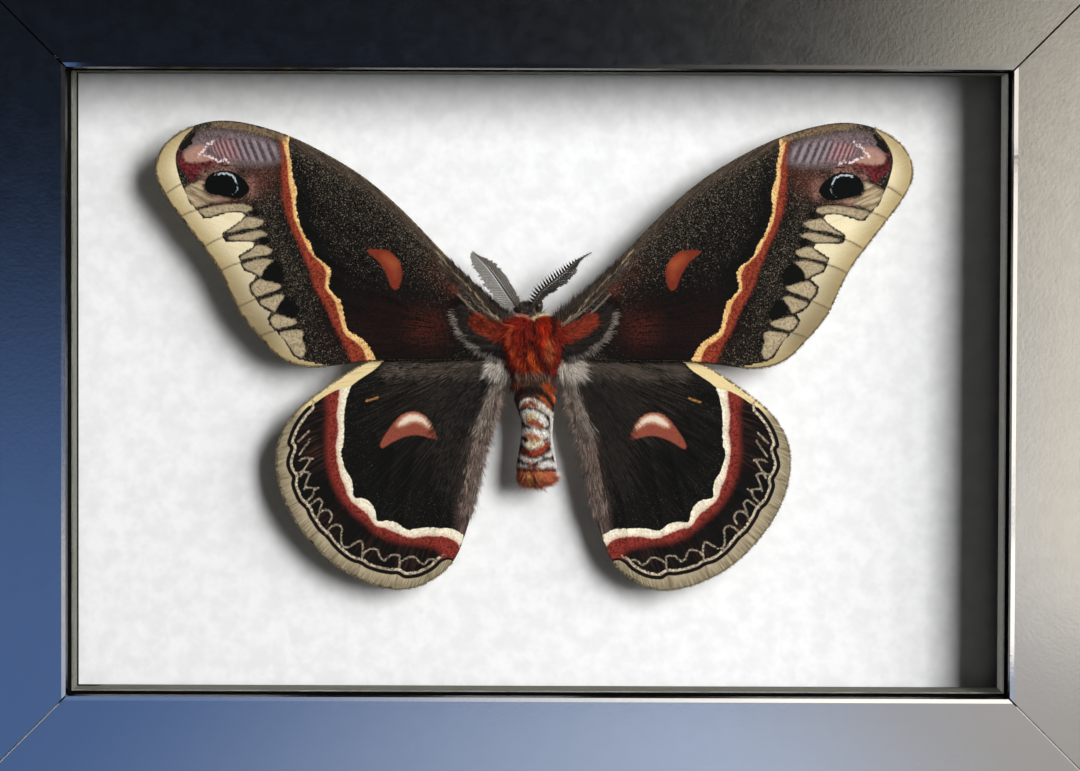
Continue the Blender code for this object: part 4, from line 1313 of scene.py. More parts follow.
# What the body's hair is painted with, front to back, by pixels: tone, half width, softness
# and line. Later ones lie over earlier ones.
BODY_LINES = (
    ((138, 30, 16), 13, 6, ((521, 322), (519, 340), (520, 352))),
    ((196, 48, 18), 5, 3, ((545, 319), (546, 332), (547, 345))),
    ((150, 44, 26), 4, 3, ((555, 332), (558, 342), (561, 352))),
    ((190, 96, 52), 4, 3, ((549, 343), (550, 352), (549, 362))),
    ((206, 78, 34), 3.5, 3, ((512, 349), (515, 358), (521, 367))),
    ((212, 88, 34), 3.5, 3, ((529, 355), (533, 363), (537, 370))),
    ((150, 40, 18), 2.5, 2, ((520, 330), (517, 343), (521, 354))),
    ((206, 84, 46), 2.4, 1.5, ((511, 325), (508, 336), (508, 345))),
    ((150, 40, 24), 2.5, 2, ((528, 330), (527, 340))),
    ((74, 11, 10), 1.2, 1.2, ((523, 330), (524, 340), (524, 347))),
    ((66, 10, 10), 1.5, 1.2, ((533, 320), (534, 334))),
    ((26, 9, 12), 1.8, 1.4, ((530, 341), (534, 347))),
    ((56, 12, 12), 1.5, 1.4, ((535, 351), (540, 358), (546, 367))),
    ((110, 28, 18), 1.3, 1.4, ((524, 351), (526, 357))),
    ((104, 24, 14), 1.6, 1.6, ((506, 352), (510, 362), (515, 369))),
    ((80, 16, 12), 2.2, 2, ((510, 371), (520, 375), (532, 376), (548, 373))),
    ((30, 16, 14), 2.5, 2, ((552, 318), (554, 326), (553, 334))),
    ((112, 88, 76), 4, 3, ((518, 378), (534, 377), (548, 379))),
    ((84, 58, 38), 3, 2, ((512, 384), (530, 384), (545, 385))),
    ((176, 66, 32), 4, 2, ((546, 388), (552, 392), (556, 399))),
    ((104, 44, 28), 3, 2, ((511, 393), (514, 388), (520, 386))),
    ((28, 18, 18), 3.4, 1.4, ((508, 402), (514, 396), (522, 391), (533, 389), (543, 393),
                              (550, 401), (555, 410))),
    ((184, 84, 42), 4.5, 1.6, ((547, 387), (553, 393), (557, 401))),
    ((34, 18, 16), 1.3, 0.9, ((543, 393), (550, 400), (555, 409))),
    ((162, 84, 44), 2.2, 1.2, ((538, 397), (544, 400), (550, 408))),
    ((60, 28, 20), 1.8, 1.2, ((516, 402), (524, 395), (532, 395), (538, 398))),
    ((240, 232, 220), 1.8, 0.8, ((521, 408), (523, 402), (529, 400), (537, 402), (545, 408),
                                 (552, 414))),
    ((150, 78, 44), 2.4, 1.0, ((523, 408), (529, 403), (536, 405))),
    ((240, 234, 224), 5, 1.0, ((527, 414), (536, 414), (545, 421))),
    ((206, 190, 140), 2.5, 2.0, ((528, 416), (534, 417))),
    ((40, 22, 20), 1.2, 0.7, ((521, 410), (528, 408), (537, 410), (544, 414), (549, 419),
                              (550, 424), (547, 429))),
    ((164, 84, 52), 3.0, 1.0, ((529, 422), (536, 423), (542, 427))),
    ((30, 20, 20), 1.6, 0.8, ((523, 424), (529, 428), (538, 430), (547, 429))),
    ((240, 234, 226), 4.5, 1.0, ((526, 434), (534, 433), (545, 434))),
    ((186, 120, 72), 2.6, 1.2, ((527, 436), (533, 436), (538, 439))),
    ((44, 24, 26), 2.2, 1.0, ((523, 438), (526, 440))),
    ((60, 52, 50), 1.2, 0.8, ((545, 440), (547, 438))),
    ((228, 218, 190), 3.2, 1.0, ((527, 445), (534, 445), (541, 444))),
    ((26, 16, 16), 4.4, 0.8, ((520, 448), (525, 452), (534, 454), (543, 451), (548, 446))),
    ((178, 70, 44), 2.8, 0.8, ((529, 452), (536, 453), (543, 449), (547, 445))),
    ((110, 32, 24), 2.4, 1.0, ((523, 450), (528, 452))),
    ((232, 222, 216), 1.2, 0.6, ((517, 456), (526, 460), (535, 460), (545, 457), (553, 453))),
    ((44, 22, 20), 1.6, 0.7, ((517, 459), (524, 463), (531, 465), (538, 463), (544, 460),
                              (551, 458))),
    ((136, 62, 40), 2.0, 1.2, ((530, 464), (535, 468))),
    ((238, 234, 228), 3.0, 1.0, ((541, 466), (549, 464), (556, 466))),
    ((186, 178, 172), 2.2, 1.2, ((519, 466), (527, 467))),
    ((166, 84, 54), 6, 1.4, ((522, 474), (526, 480))),
    ((204, 116, 80), 6, 1.4, ((540, 474), (550, 476))),
    ((186, 128, 76), 2.8, 1.5, ((528, 474), (531, 482))),
    ((108, 38, 26), 1.4, 1.2, ((518, 469), (526, 470), (534, 471), (546, 470), (555, 471))),
    ((176, 130, 66), 1.6, 1.2, ((541, 472), (540, 478))),
    ((52, 26, 20), 1.4, 1.0, ((534, 476), (535, 481), (535, 488))),
    ((240, 238, 234), 1.8, 0.8, ((552, 418), (553, 432), (553, 445), (556, 458), (559, 468),
                                 (558, 475))),
)
COLLAR_LINES = (
    ((224, 146, 124), 1.5, 0.7, ((514, 316), (521, 315), (529, 318))),
    ((238, 210, 160), 1.5, 0.7, ((533, 319), (538, 316), (544, 315), (551, 314))),
)
THORAX_TONE = (140, 34, 14)
HEAD_TONE = (112, 98, 92)
CROWN_TONE = (44, 34, 32)
FLANK_TONE = (74, 52, 46)
TIP_TONE = (158, 78, 52)
UNDER_TONE = (128, 52, 34)
WHITE_TONE = (226, 218, 206)

# Pixel rows where the body's tones change, from its front to its tip.
CROWN_ROW = 317
HEAD_ROW = 317.5
FLANK_ROW = 375
UNDER_ROW = 376
BANDS_ROW = 402
TIP_ROW = 468
BANDS_COLUMN = 536            # middle and half width of the bands' white ground, by pixels
BANDS_REACH = 16
UNDER_STEP = 2.6              # pixel rows for each radian of the bands on the underside


def body_tones(points, facing, seed):
    """Linear colours of body hair at world points; facing is 1 at the glass side, -1 behind."""
    px = to_pixels(points[:, [0, 2]] - (MOTH_X, MOTH_Z))
    stray = np.column_stack([ripple(points, 0.9, seed), ripple(points, 0.9, seed + 1)])
    place = px + 0.35 * stray
    y = place[:, 1]
    tones = np.empty((len(points), 3))
    tones[:] = linear(*THORAX_TONE)[:3]

    def lay(share, tone):
        share = np.clip(share, 0, 1)[:, None]
        tones[:] = tones * (1 - share) + np.array(linear(*tone)[:3]) * share

    def lay_lines(lines):
        for tone, half, soft, line in lines:
            away, _ = off_line(place, smooth(line, 4))
            lay((half - away) / soft + 0.5, tone)

    lay((y - FLANK_ROW) / 3, FLANK_TONE)
    banded = (y > BANDS_ROW) & (np.abs(px[:, 0] - BANDS_COLUMN) < BANDS_REACH)
    lay(np.where(banded, 0.6, 0.0), WHITE_TONE)
    lay((y - TIP_ROW) / 2, TIP_TONE)
    lay_lines(BODY_LINES)
    lay((HEAD_ROW - y) / 1.5, HEAD_TONE)
    lay((y < CROWN_ROW) * (0.5 + 0.7 * ripple(points, 0.7, seed + 5)), CROWN_TONE)
    lay_lines(COLLAR_LINES)
    rear = np.clip(-facing * 2.0 + 0.3, 0, 1)
    bands = 0.5 * np.sign(np.sin(y / UNDER_STEP))
    lay(rear * (y > UNDER_ROW) * (0.5 + bands), WHITE_TONE)
    lay(rear * (y > UNDER_ROW) * (0.5 - bands), UNDER_TONE)
    lay(rear * (y <= UNDER_ROW) * 0.8, UNDER_TONE)
    uneven = np.where(y > BANDS_ROW, 0.10, 0.22) * ripple(points, 1.3, seed + 2)
    return tones * (1 + uneven)[:, None]


def skin_material():
    """Skin under the body's hair: the hair's own tones, darker, with a felted surface."""
    s = Shader("moth_body_skin", Specular_IOR_Level=0.2)
    felt = s.noise(3.0, 4.0, 0.7)
    color = s.mix(1.0, s.attribute("tone", "Color"), (0.45, 0.42, 0.42, 1), "MULTIPLY")
    color = s.mix(s.times(s.step(felt, 0.45, 0.7), 0.5), color, (30, 18, 16))
    return s.finish(color, 0.85, s.bump(felt, 0.2))


def body_mesh(body):
    rows = np.linspace(body.rear + 0.01, body.front - 0.01, BODY_ROWS)
    turns = np.arange(BODY_COLUMNS) * 2 * math.pi / BODY_COLUMNS
    rings = [body.place(np.full(BODY_COLUMNS, b), turns) for b in rows]
    poles = []
    for b in (body.rear, body.front):
        x, y, _, _ = body.section(b)
        poles.append((MOTH_X + x, y, MOTH_Z + b))
    return np.vstack(rings + [poles]), tube_faces(BODY_ROWS, BODY_COLUMNS)


# Regions of the body's coat: from and to (b), locks, length, width, lift, range of tones, slot.
BODY_COATS = {
    "head_coat": (5.3, 8.2, 5600, 1.25, 0.07, 0.60, (0.5, 1.6), "moth_head"),
    "thorax_coat": (-6.2, 5.9, 12000, 2.3, 0.17, 0.28, (0.78, 1.46), "moth_thorax"),
    "abdomen_coat": (-25.6, -5.2, 19500, 0.85, 0.14, 0.24, (1.05, 1.3), "moth_abdomen"),
}
PARTING = (4.3, 5.5)          # hair lies backwards before the first b, forwards after the second
NAPE_B = 4.8                  # before this b the thorax's hair gets shorter
BASE_B = -8.5                 # before this b the abdomen's hair gets longer,
TIP_B = -22.0                 # and behind this one too
RAISED_B = -21.5              # behind this b the hair stands out
SPREAD_B = -20.5              # and behind this one it spreads
REAR_HAIR = 0.35              # locks on the body's rear, as a share of those in front


def coat_lengths(name, b):
    """How the length of the body's hair changes along it."""
    if name == "abdomen_coat":
        return 1 + 0.9 * ramp(b, TIP_B, -2) + 0.7 * ramp(b, BASE_B, 2)
    if name == "thorax_coat":
        return 0.75 + 0.25 * ramp(b, NAPE_B, -2)
    return 1.0


def coat_lifts(name, b, normal, lift):
    """How far hair stands out: more at the abdomen's tip and on the thorax's front corners."""
    raised = lift * (1 + 1.5 * ramp(b, RAISED_B, -2))
    if name == "thorax_coat":
        raised *= 1 + 0.7 * ramp(np.abs(normal[:, 0]), 0.45, 0.3)
        corner = np.abs(normal[:, 0]) * np.maximum(normal[:, 2], 0)
        raised += 0.62 * np.clip(4 * corner - 0.4, 0, 1)
    return raised


def make_body():
    """One skin for head, thorax and abdomen, and its coat in three pieces."""
    body = Body()
    points, faces = body_mesh(body)
    normals = corner_normals(points, faces)
    tones = body_tones(points, -normals[:, 1], 11)
    nodes = ["head", "thorax", "abdomen_base", "abdomen", "abdomen_tip"]
    make_piece("body_skin", points, faces, skin_material(), nodes,
               colors={"tone": np.clip(tones, 0, 1)})
    short_hair = hair_material("moth_body_hair", sheen=0.0)
    banded_hair = hair_material("moth_abdomen_hair", root=0.85)
    b = points[:, 2] - MOTH_Z
    for number, (name, look) in enumerate(BODY_COATS.items()):
        low, high, count, length, width, lift, tone_range, slot = look
        rng = np.random.default_rng(100 + number)
        weight = ((b > low) & (b < high)) * np.where(normals[:, 1] < 0.3, 1.0, REAR_HAIR)
        corners, shares = scatter(points, faces, count, rng, weight)
        roots = blend_at(points, corners, shares)
        normal = unit(blend_at(normals, corners, shares))
        root_b = roots[:, 2] - MOTH_Z
        long = length * (1 + 0.28 * rng.normal(size=count)).clip(0.5, 1.7)
        long = long * coat_lengths(name, root_b)
        tone = np.tile(rng.uniform(*tone_range, (count, 1)), 3)
        raised = coat_lifts(name, root_b, normal, lift)

        def paint(places):
            facing = np.repeat(-normal[:, 1], len(places) // count)
            return body_tones(places, facing, 21 + number)

        sizes = (long, width * rng.uniform(0.7, 1.3, count), raised * rng.uniform(0.5, 1.5, count),
                 0.55 * lift * rng.uniform(0.7, 1.3, count), 0.25 * rng.normal(size=count))
        material, rows = (banded_hair, 2) if name == "abdomen_coat" else (short_hair, 3)
        make_coat(name, roots - normal * 0.05, normal, body_lie(roots, normal),
                  body.map_place(roots), tone, sizes, material, rows, paint)


def body_lie(roots, normals):
    """Which way body hair lies: along the body, spreading from its mid-line, in loose locks."""
    x, b = roots[:, 0] - MOTH_X, roots[:, 2] - MOTH_Z
    lean = np.interp(b, PARTING, (-1.0, 1.0))
    flare = ramp(np.abs(x), np.interp(b, (2.5, 4.5), (2.6, 1.4)), 1.6)
    flare *= np.abs(b) < 5.4
    spread = np.where(lean > 0, 0.30, 0.09) * x
    spread += np.interp(b, (2.5, 4.6), (0.28, 0.8)) * flare * np.sign(x)
    spread += 0.25 * x * ramp(b, SPREAD_B, -2)
    lie = np.column_stack([spread, np.zeros(len(roots)), lean])
    stray = np.column_stack([ripple(roots, 1.6, 300 + k) for k in range(3)])
    return unit(lie + 0.22 * stray + 0.05 * normals)


# Hair on the wings' roots and inner margins.
# Fields: wing, count, length, width, lift, tones, turn of the lie from the wing's flow in degrees,
# and a line by pixels with the field's reach about it in pixels.

HAIR_FIELDS = {
    "shoulder_hair": (
        "forewing", 3000, 1.5, 0.09, 0.04, ((47, 36, 30), (90, 76, 64), (27, 20, 18)), 4,
        ((560, 322), (572, 312), (588, 299), (606, 283), (616, 272)), 6),
    "cream_streak_hair": (
        "forewing", 520, 1.1, 0.05, 0.09, ((196, 172, 136), (168, 146, 118), (226, 206, 168)), 0,
        ((559, 330), (567, 322), (577, 313), (589, 299), (602, 285), (616, 270), (630, 253)), 0.4),
    "red_patch_hair": (
        "forewing", 3600, 1.4, 0.09, 0.08, ((128, 36, 14), (172, 66, 28), (66, 20, 13)), -2,
        ((558, 336), (569, 333), (579, 328), (588, 323)), 4.6),
    "root_dark_hair": (
        "forewing", 2600, 1.5, 0.10, 0.09, ((32, 24, 22), (54, 42, 37), (20, 15, 15)), -10,
        ((566, 348), (579, 344), (592, 337), (601, 326), (603, 314)), 5),
    "pale_band_hair": (
        "forewing", 1300, 1.1, 0.07, 0.14, ((166, 156, 148), (132, 122, 114), (96, 86, 80)), -20,
        ((613, 315), (610, 326), (605, 334), (597, 342), (588, 349), (579, 353), (570, 357)), 2.3),
    "white_tuft_hair": (
        "hindwing", 2500, 3.0, 0.09, 0.28, ((228, 218, 204), (174, 160, 148), (250, 244, 234)), 4,
        ((554, 354), (561, 359), (569, 366)), 5.6),
    "inner_margin_hair": (
        "hindwing", 4000, 2.6, 0.08, 0.07, ((132, 112, 102), (170, 152, 140), (80, 65, 59)), -9,
        ((572, 394), (578, 414), (585, 436), (591, 460), (596, 484), (601, 506)), 4.6),
    "pale_fold_hair": (
        "hindwing", 1900, 2.6, 0.10, 0.10, ((156, 142, 130), (130, 116, 106), (180, 170, 157)), 6,
        ((568, 380), (572, 392), (577, 406), (582, 418), (586, 426)), 3.6),
    "root_shade_hair": (
        "hindwing", 2200, 2.2, 0.10, 0.06, ((38, 31, 28), (56, 47, 42), (26, 21, 20)), 0,
        ((580, 380), (590, 400), (600, 420)), 9),
    "field_hair": (
        "hindwing", 3600, 2.2, 0.10, 0.05, ((36, 30, 26), (54, 45, 39), (24, 19, 18)), 0,
        ((596, 384), (618, 400), (612, 440), (614, 480)), 13),
    "costal_hair": (
        "hindwing", 3400, 2.2, 0.09, 0.05, ((84, 73, 64), (62, 53, 46), (106, 94, 84)), 0,
        ((578, 366), (600, 368), (630, 370), (656, 371), (674, 373)), 6.5),
    "margin_fringe_hair": (
        "hindwing", 1500, 1.7, 0.07, 0.06, ((140, 122, 112), (112, 95, 86), (178, 164, 152)), -40,
        ((567, 392), (573, 412), (580, 434), (586, 458), (592, 482), (598, 506)), 1.8),
}


# Painted light and shade: the left pair's hair is made paler and the right pair's darker.
SIDE_PAINTED_LIGHT = {-1: 1.1, 1: 0.92}  # the hair is paler on the left pair of wings
TONE_SHARES = (0.45, 0.3, 0.25)      # how often each of a field's tones comes
ABOVE_SKIN = 0.03                    # of the hair's roots
FIELD_EDGE = 0.08                    # no hair grows where a field's weight is less


def hair_field(wing, look, side, number):
    """Roots, lies, tones and sizes of one field of wing hair."""
    _, count, length, width, lift, tones, turn, line, reach = look
    rng = np.random.default_rng(500 + 2 * number + (side > 0))
    points, front = wing["points"], wing["front"][:, None]
    if reach < WING_SPACING / PIXEL:
        track = even_steps(smooth(plan(line), 5), 0.02)
        place = track[rng.integers(len(track), size=count)]
        place = place + rng.normal(size=(count, 2)) * reach * PIXEL
        nearest = ((place[:, None] - points[None]) ** 2).sum(2).argmin(1)
        y = front[nearest, 0] + ABOVE_SKIN
    else:
        weight = np.exp(-(off_lines(points, (line,)) / (reach * PIXEL)) ** 2)
        weight = np.where(weight > FIELD_EDGE, weight, 0)
        corners, shares = scatter(np.hstack([points, front]), wing["faces"], count, rng, weight)
        place = blend_at(points, corners, shares)
        y = blend_at(front, corners, shares)[:, 0] + ABOVE_SKIN
    way = place - wing["root"]
    heading = np.arctan2(way[:, 1], way[:, 0]) + math.radians(turn)
    heading = heading + 0.10 * ripple(place, 2.2, 40 + number) + 0.07 * rng.normal(size=count)
    lie = np.column_stack([side * np.cos(heading), np.zeros(count), np.sin(heading)])
    shades = np.array([linear(*tone)[:3] for tone in tones])
    tone = shades[rng.choice(len(shades), count, p=TONE_SHARES)]
    # painted light and shade by side of the moth
    tone = tone * rng.uniform(0.75, 1.25, (count, 1)) * SIDE_PAINTED_LIGHT[side]
    sizes = (length * rng.uniform(0.5, 1.35, count), width * rng.uniform(0.7, 1.3, count),
             lift * rng.uniform(0.4, 1.5, count), 0.9 * lift * rng.uniform(0.6, 1.1, count),
             0.12 * rng.normal(size=count))
    return to_world(place[:, 0], y, place[:, 1], side), lie, tone, place, sizes


def wing_hair(wing, kind, side, side_name, material):
    """All the hair on one wing as one piece."""
    looks = [look for look in HAIR_FIELDS.values() if look[0] == kind]
    fields = [hair_field(wing, look, side, number) for number, look in enumerate(looks)]
    roots, lies, tones, places = (np.vstack([field[k] for field in fields]) for k in range(4))
    sizes = [np.concatenate([field[4][k] for field in fields]) for k in range(5)]
    normals = np.tile(FRONT, (len(roots), 1))
    make_coat(f"{kind}_{side_name}_hair", roots, normals, lies, spread_out(places), tones, sizes,
              material, rows=2)


# Tones of the fringe: at the costa and the inner margin, then at the outer margin.
FRINGE_TONES = {"forewing": ((66, 54, 46), (142, 126, 94)),
                "hindwing": ((98, 82, 76), (154, 139, 113))}
FRINGE_PER_STEP = 4.2         # fringe scales for each step of the rim
FRINGE_SUNK = 0.25            # how far inside the rim they are rooted
FRINGE_SHORT = 0.55           # their length away from the outer margin, as a share
FRINGE_LIFT = 0.05
BODY_REACH = 9.0              # nearer the mid-line than this the rim is under body hair


def wing_fringe(wing, kind, side, side_name, material):
    """Short flat scales that stand out from the wing's margin."""
    rim, margin = wing["rim"], wing["margin"]
    rng = np.random.default_rng(900 + (side > 0) + 2 * (kind == "hindwing"))
    along = np.sort(rng.uniform(0, len(rim), int(len(rim) * FRINGE_PER_STEP)))
    index = along.astype(int) % len(rim)
    after = (index + 1) % len(rim)
    place = rim[index] + (rim[after] - rim[index]) * (along % 1)[:, None]
    way = unit(rim[after] - rim[index])
    outward = np.column_stack([way[:, 1], -way[:, 0]]) * wing["winding"]
    outward = unit(outward + 0.25 * rng.normal(size=outward.shape))
    keep = place[:, 0] > BODY_REACH
    place, outward, margin = place[keep], outward[keep], margin[index[keep]]
    place = place - outward * FRINGE_SUNK
    count = len(place)
    y = wing["depth"](place[:, 0]) + rng.uniform(-0.06, 0.06, count)
    lie = np.column_stack([side * outward[:, 0], rng.normal(size=count) * 0.12, outward[:, 1]])
    normals = np.tile(FRONT, (count, 1))
    inner_tone, outer_tone = (np.array(linear(*tone)[:3]) for tone in FRINGE_TONES[kind])
    tone = np.where(margin[:, None], outer_tone, inner_tone) * rng.uniform(0.6, 1.3, (count, 1))
    stand = np.where(margin, 1.0, FRINGE_SHORT)
    lift = np.full(count, FRINGE_LIFT)
    sizes = (rng.uniform(0.4, 0.62, count) * stand, rng.uniform(0.12, 0.2, count), lift, lift,
             0.2 * rng.normal(size=count))
    make_coat(f"{kind}_{side_name}_fringe", to_world(place[:, 0], y, place[:, 1], side), normals,
              lie, spread_out(place), tone, sizes, material, rows=2)


def make_wing_coats(wings):
    material = hair_material("wing_hair")
    for kind, wing in wings.items():
        for side_name, side in SIDES:
            wing_hair(wing, kind, side, side_name, material)
            wing_fringe(wing, kind, side, side_name, material)


# Antennae, eyes and legs.

# Sides of each antenna: rami, length, tilt, hand and forward, then the tones of rami and cilia,
# the rami's width, the gap between cilia as a share of the ramus, and where the row runs out.
ANTENNAE = {
    "left": {"line": ((517, 307), (509, 297), (500, 284), (487, 267), (472, 252)),
             "sides": ((36, 2.9, 4, 1, 0.6, (92, 86, 80), (146, 143, 137), 0.09, 0.022, 1.35),
                       (36, 1.8, 14, -1, 0.6, (62, 52, 45), (112, 104, 96), 0.12, 0.026, 1.0))},
    "right": {"line": ((532, 305.5), (537, 296), (543, 289), (556, 278.5), (564.5, 271.5),
                       (571, 265), (578, 259.6), (591, 252.5)),
              "sides": ((25, 1.35, 4, 1, 0.10, (8, 6, 6), (8, 6, 6), 0.5, 0.9, 0.9),
                        (36, 2.2, 14, -1, 0.8, (22, 17, 14), (60, 52, 45), 0.18, 0.017, 0.92))},
}
JOINTS = 36                   # in each shaft
CILIA_LENGTH, CILIA_WIDTH = 0.27, 0.07
SHAFT_RADIUS = 0.20
SHAFT_SIDES = 10
SHAFT_FORWARD = 0.15           # how far the shaft's root lies in front of its CAD solid's middle
SHAFT_BOW = 0.3               # and how far its tip lies behind its root


def tube(line, radii, sides):
    """Round tube along a line of world points, closed at both ends."""
    way = unit(np.gradient(line, axis=0))
    across = unit(np.cross(way, np.tile(FRONT, (len(line), 1))))
    other = np.cross(way, across)
    rings = []
    for k in range(sides):
        angle = 2 * math.pi * k / sides
        rings.append(line + (across * math.cos(angle) + other * math.sin(angle)) * radii[:, None])
    points = np.stack(rings, axis=1).reshape(-1, 3)
    return np.vstack([points, line[0], line[-1]]), tube_faces(len(line), sides)


def antenna_material():
    """Horny brown shaft, ringed by its joints."""
    s = Shader("antenna_shaft", Specular_IOR_Level=0.45)
    ring = s.attribute("joint")
    groove = s.step(s.math("SINE", s.times(ring, 2 * math.pi)), -0.9, -0.2)
    color = s.mix(s.noise(4.0, 3.0), (46, 34, 28), (78, 60, 48))
    color = s.mix(groove, (24, 17, 14), color)
    return s.finish(color, 0.42, s.bump(groove, 0.04))


def make_antennae():
    shaft_look = antenna_material()
    hair_look = hair_material("antenna_hair", sheen=0.05)
    for number, (side_name, look) in enumerate(ANTENNAE.items()):
        rng = np.random.default_rng(700 + number)
        low, high = node_box(f"antenna_{side_name}")
        depth = (low[1] + high[1]) / 2
        plain = even_steps(smooth(plan(look["line"]), 8), 0.16)
        share = np.linspace(0, 1, len(plain))
        line = to_world(plain[:, 0], depth - SHAFT_FORWARD + SHAFT_BOW * share ** 2, plain[:, 1], 1)
        radii = SHAFT_RADIUS * (1.15 - 0.85 * share)
        points, faces = tube(line, radii, SHAFT_SIDES)
        joints = np.append(np.repeat(share * JOINTS, SHAFT_SIDES), (0.0, float(JOINTS)))
        make_piece(f"antenna_{side_name}_shaft", points, faces, shaft_look,
                   [f"antenna_{side_name}"], {"joint": joints})
        antenna_hair(side_name, look, line, radii, hair_look, rng)


def antenna_hair(side_name, look, line, radii, material, rng):
    """The feather of one antenna: two rows of rami, each fringed on both sides."""
    shares = np.linspace(0, 1, len(line))
    ways = unit(np.gradient(line, axis=0))
    front = np.array(FRONT)
    locks_made = []                # root, lie, normal, length, width, tone, place on the map
    for side in look["sides"]:
        rami, length, tilt, hand, forward, ramus_tone, cilia_tone, ramus_width, gap, end = side
        cos, sin = math.cos(math.radians(tilt)), math.sin(math.radians(tilt))
        for k in range(rami):
            t = (k + 0.5) / rami
            middle, way = (np.array([np.interp(t, shares, values[:, axis]) for axis in range(3)])
                           for values in (line, ways))
            out = np.cross(front, way) * hand
            tilted = out * cos + front * sin * (1.0 if hand > 0 else -0.6)
            swell = math.sin(math.pi * min(t * 0.86 + 0.16, 1.0)) ** 0.55
            long = length * swell * rng.uniform(0.84, 1.10) * np.clip((end - t) / 0.35, 0.15, 1)
            root = middle + tilted * np.interp(t, shares, radii) * 0.5
            lie = tilted + way * (forward + 0.2 * t)
            lie /= np.linalg.norm(lie)
            across = np.cross(lie, front)
            locks_made.append((root, lie, front, long, ramus_width, ramus_tone,
                               (t, 0.5 + 0.02 * hand)))
            for share in np.arange(0.08, 1.0, gap):
                for turn in (-1, 1):
                    sweep = across * turn + lie * 0.8 + rng.normal(size=3) * 0.12
                    locks_made.append((root + lie * long * share, sweep, front,
                                       CILIA_LENGTH * rng.uniform(0.7, 1.2), CILIA_WIDTH,
                                       cilia_tone,
                                       (t + 0.004 * turn, 0.5 + hand * (0.05 + 0.42 * share))))
    roots, lies, normals, lengths, widths, tones, places = map(np.array, zip(*locks_made))
    count = len(roots)
    sizes = (lengths, widths, np.full(count, 0.04), np.full(count, 0.10), np.zeros(count))
    tones = np.array([linear(*tone)[:3] for tone in tones]) * rng.uniform(0.8, 1.25, (count, 1))
    make_coat(f"antenna_{side_name}_rami", roots, normals, lies, spread_out(places), tones, sizes,
              material, rows=2)


def eye_material():
    """Dark compound eye: fine facets under a clear gloss, browner in soft patches."""
    s = Shader("compound_eye", Coat_Weight=0.6, Coat_Roughness=0.08, Specular_IOR_Level=0.6)
    distance, chance, _ = s.cells(14.0)
    pseudo = s.noise(0.9, 2.0)
    color = s.mix(s.step(pseudo, 0.4, 0.62), (14, 10, 9), (52, 34, 22))
    color = s.mix(s.times(chance, 0.25), color, (70, 52, 36))
    return s.finish(color, 0.22, s.bump(distance, 0.02))


EYE_ROWS, EYE_COLUMNS = 20, 36
EYE_CONE = 1.1                # how far an eye's base runs into the head
EYE_FULLNESS = 0.9            # power of the cosine of an eye's outline; 1 is an ellipse
EYE_HEIGHT = 0.97             # of its width


def make_eyes():
    look = eye_material()
    turn = np.arange(EYE_COLUMNS) * 2 * math.pi / EYE_COLUMNS
    for side_name, side in SIDES:
        low, high = node_box(f"eye_{side_name}")
        middle = (low + high) / 2
        base = high[0] if side < 0 else low[0]
        reach = high[0] - low[0]
        radius = (high[2] - low[2]) / 2
        rings = []
        for row in range(EYE_ROWS):
            lift = math.pi / 2 * row / EYE_ROWS
            wide = radius * math.cos(lift) ** EYE_FULLNESS
            x = np.full(EYE_COLUMNS, base + side * (reach * math.sin(lift)))
            rings.append(np.column_stack([x, middle[1] + wide * np.cos(turn),
                                          middle[2] + wide * np.sin(turn) * EYE_HEIGHT]))
        poles = [(base - side * EYE_CONE, middle[1], middle[2]),
                 (base + side * reach, middle[1], middle[2])]
        faces = tube_faces(EYE_ROWS, EYE_COLUMNS)
        faces = faces if side > 0 else faces[:, ::-1]
        make_piece(f"eye_{side_name}_globe", np.vstack(rings + [poles]), faces, look,
                   [f"eye_{side_name}"])


def leg_material():
    """Rusty scaled limb with darker joints."""
    s = Shader("moth_leg_scales", Specular_IOR_Level=0.3)
    streak = s.noise(1.6, 3.0, 0.6, s.stretched((3.0, 3.0, 0.8)))
    color = s.mix(s.step(streak, 0.35, 0.65), (84, 30, 20), (148, 74, 50))
    return s.finish(color, 0.6, s.bump(s.noise(6.0, 2.0), 0.06))


# Each leg's joints on the right side as (a, b), and its radii from root to claw.
LEG_JOINTS = {
    "fore": ((1.7, 1.8), (2.9, 4.3), (4.4, 2.6), (5.9, 5.4)),
    "middle": ((1.7, -0.4), (5.2, 0.6), (7.4, -2.4), (9.4, -4.6)),
    "hind": ((1.7, -2.3), (4.6, -2.7), (5.6, -6.8), (7.0, -10.2)),
}
LEG_RADII = (0.40, 0.44, 0.36, 0.40, 0.27, 0.30, 0.18, 0.12)
LEG_SIDES = 12
LEG_HAIRS = 420               # on each leg
LEG_HAIR_TONE = (132, 62, 42)


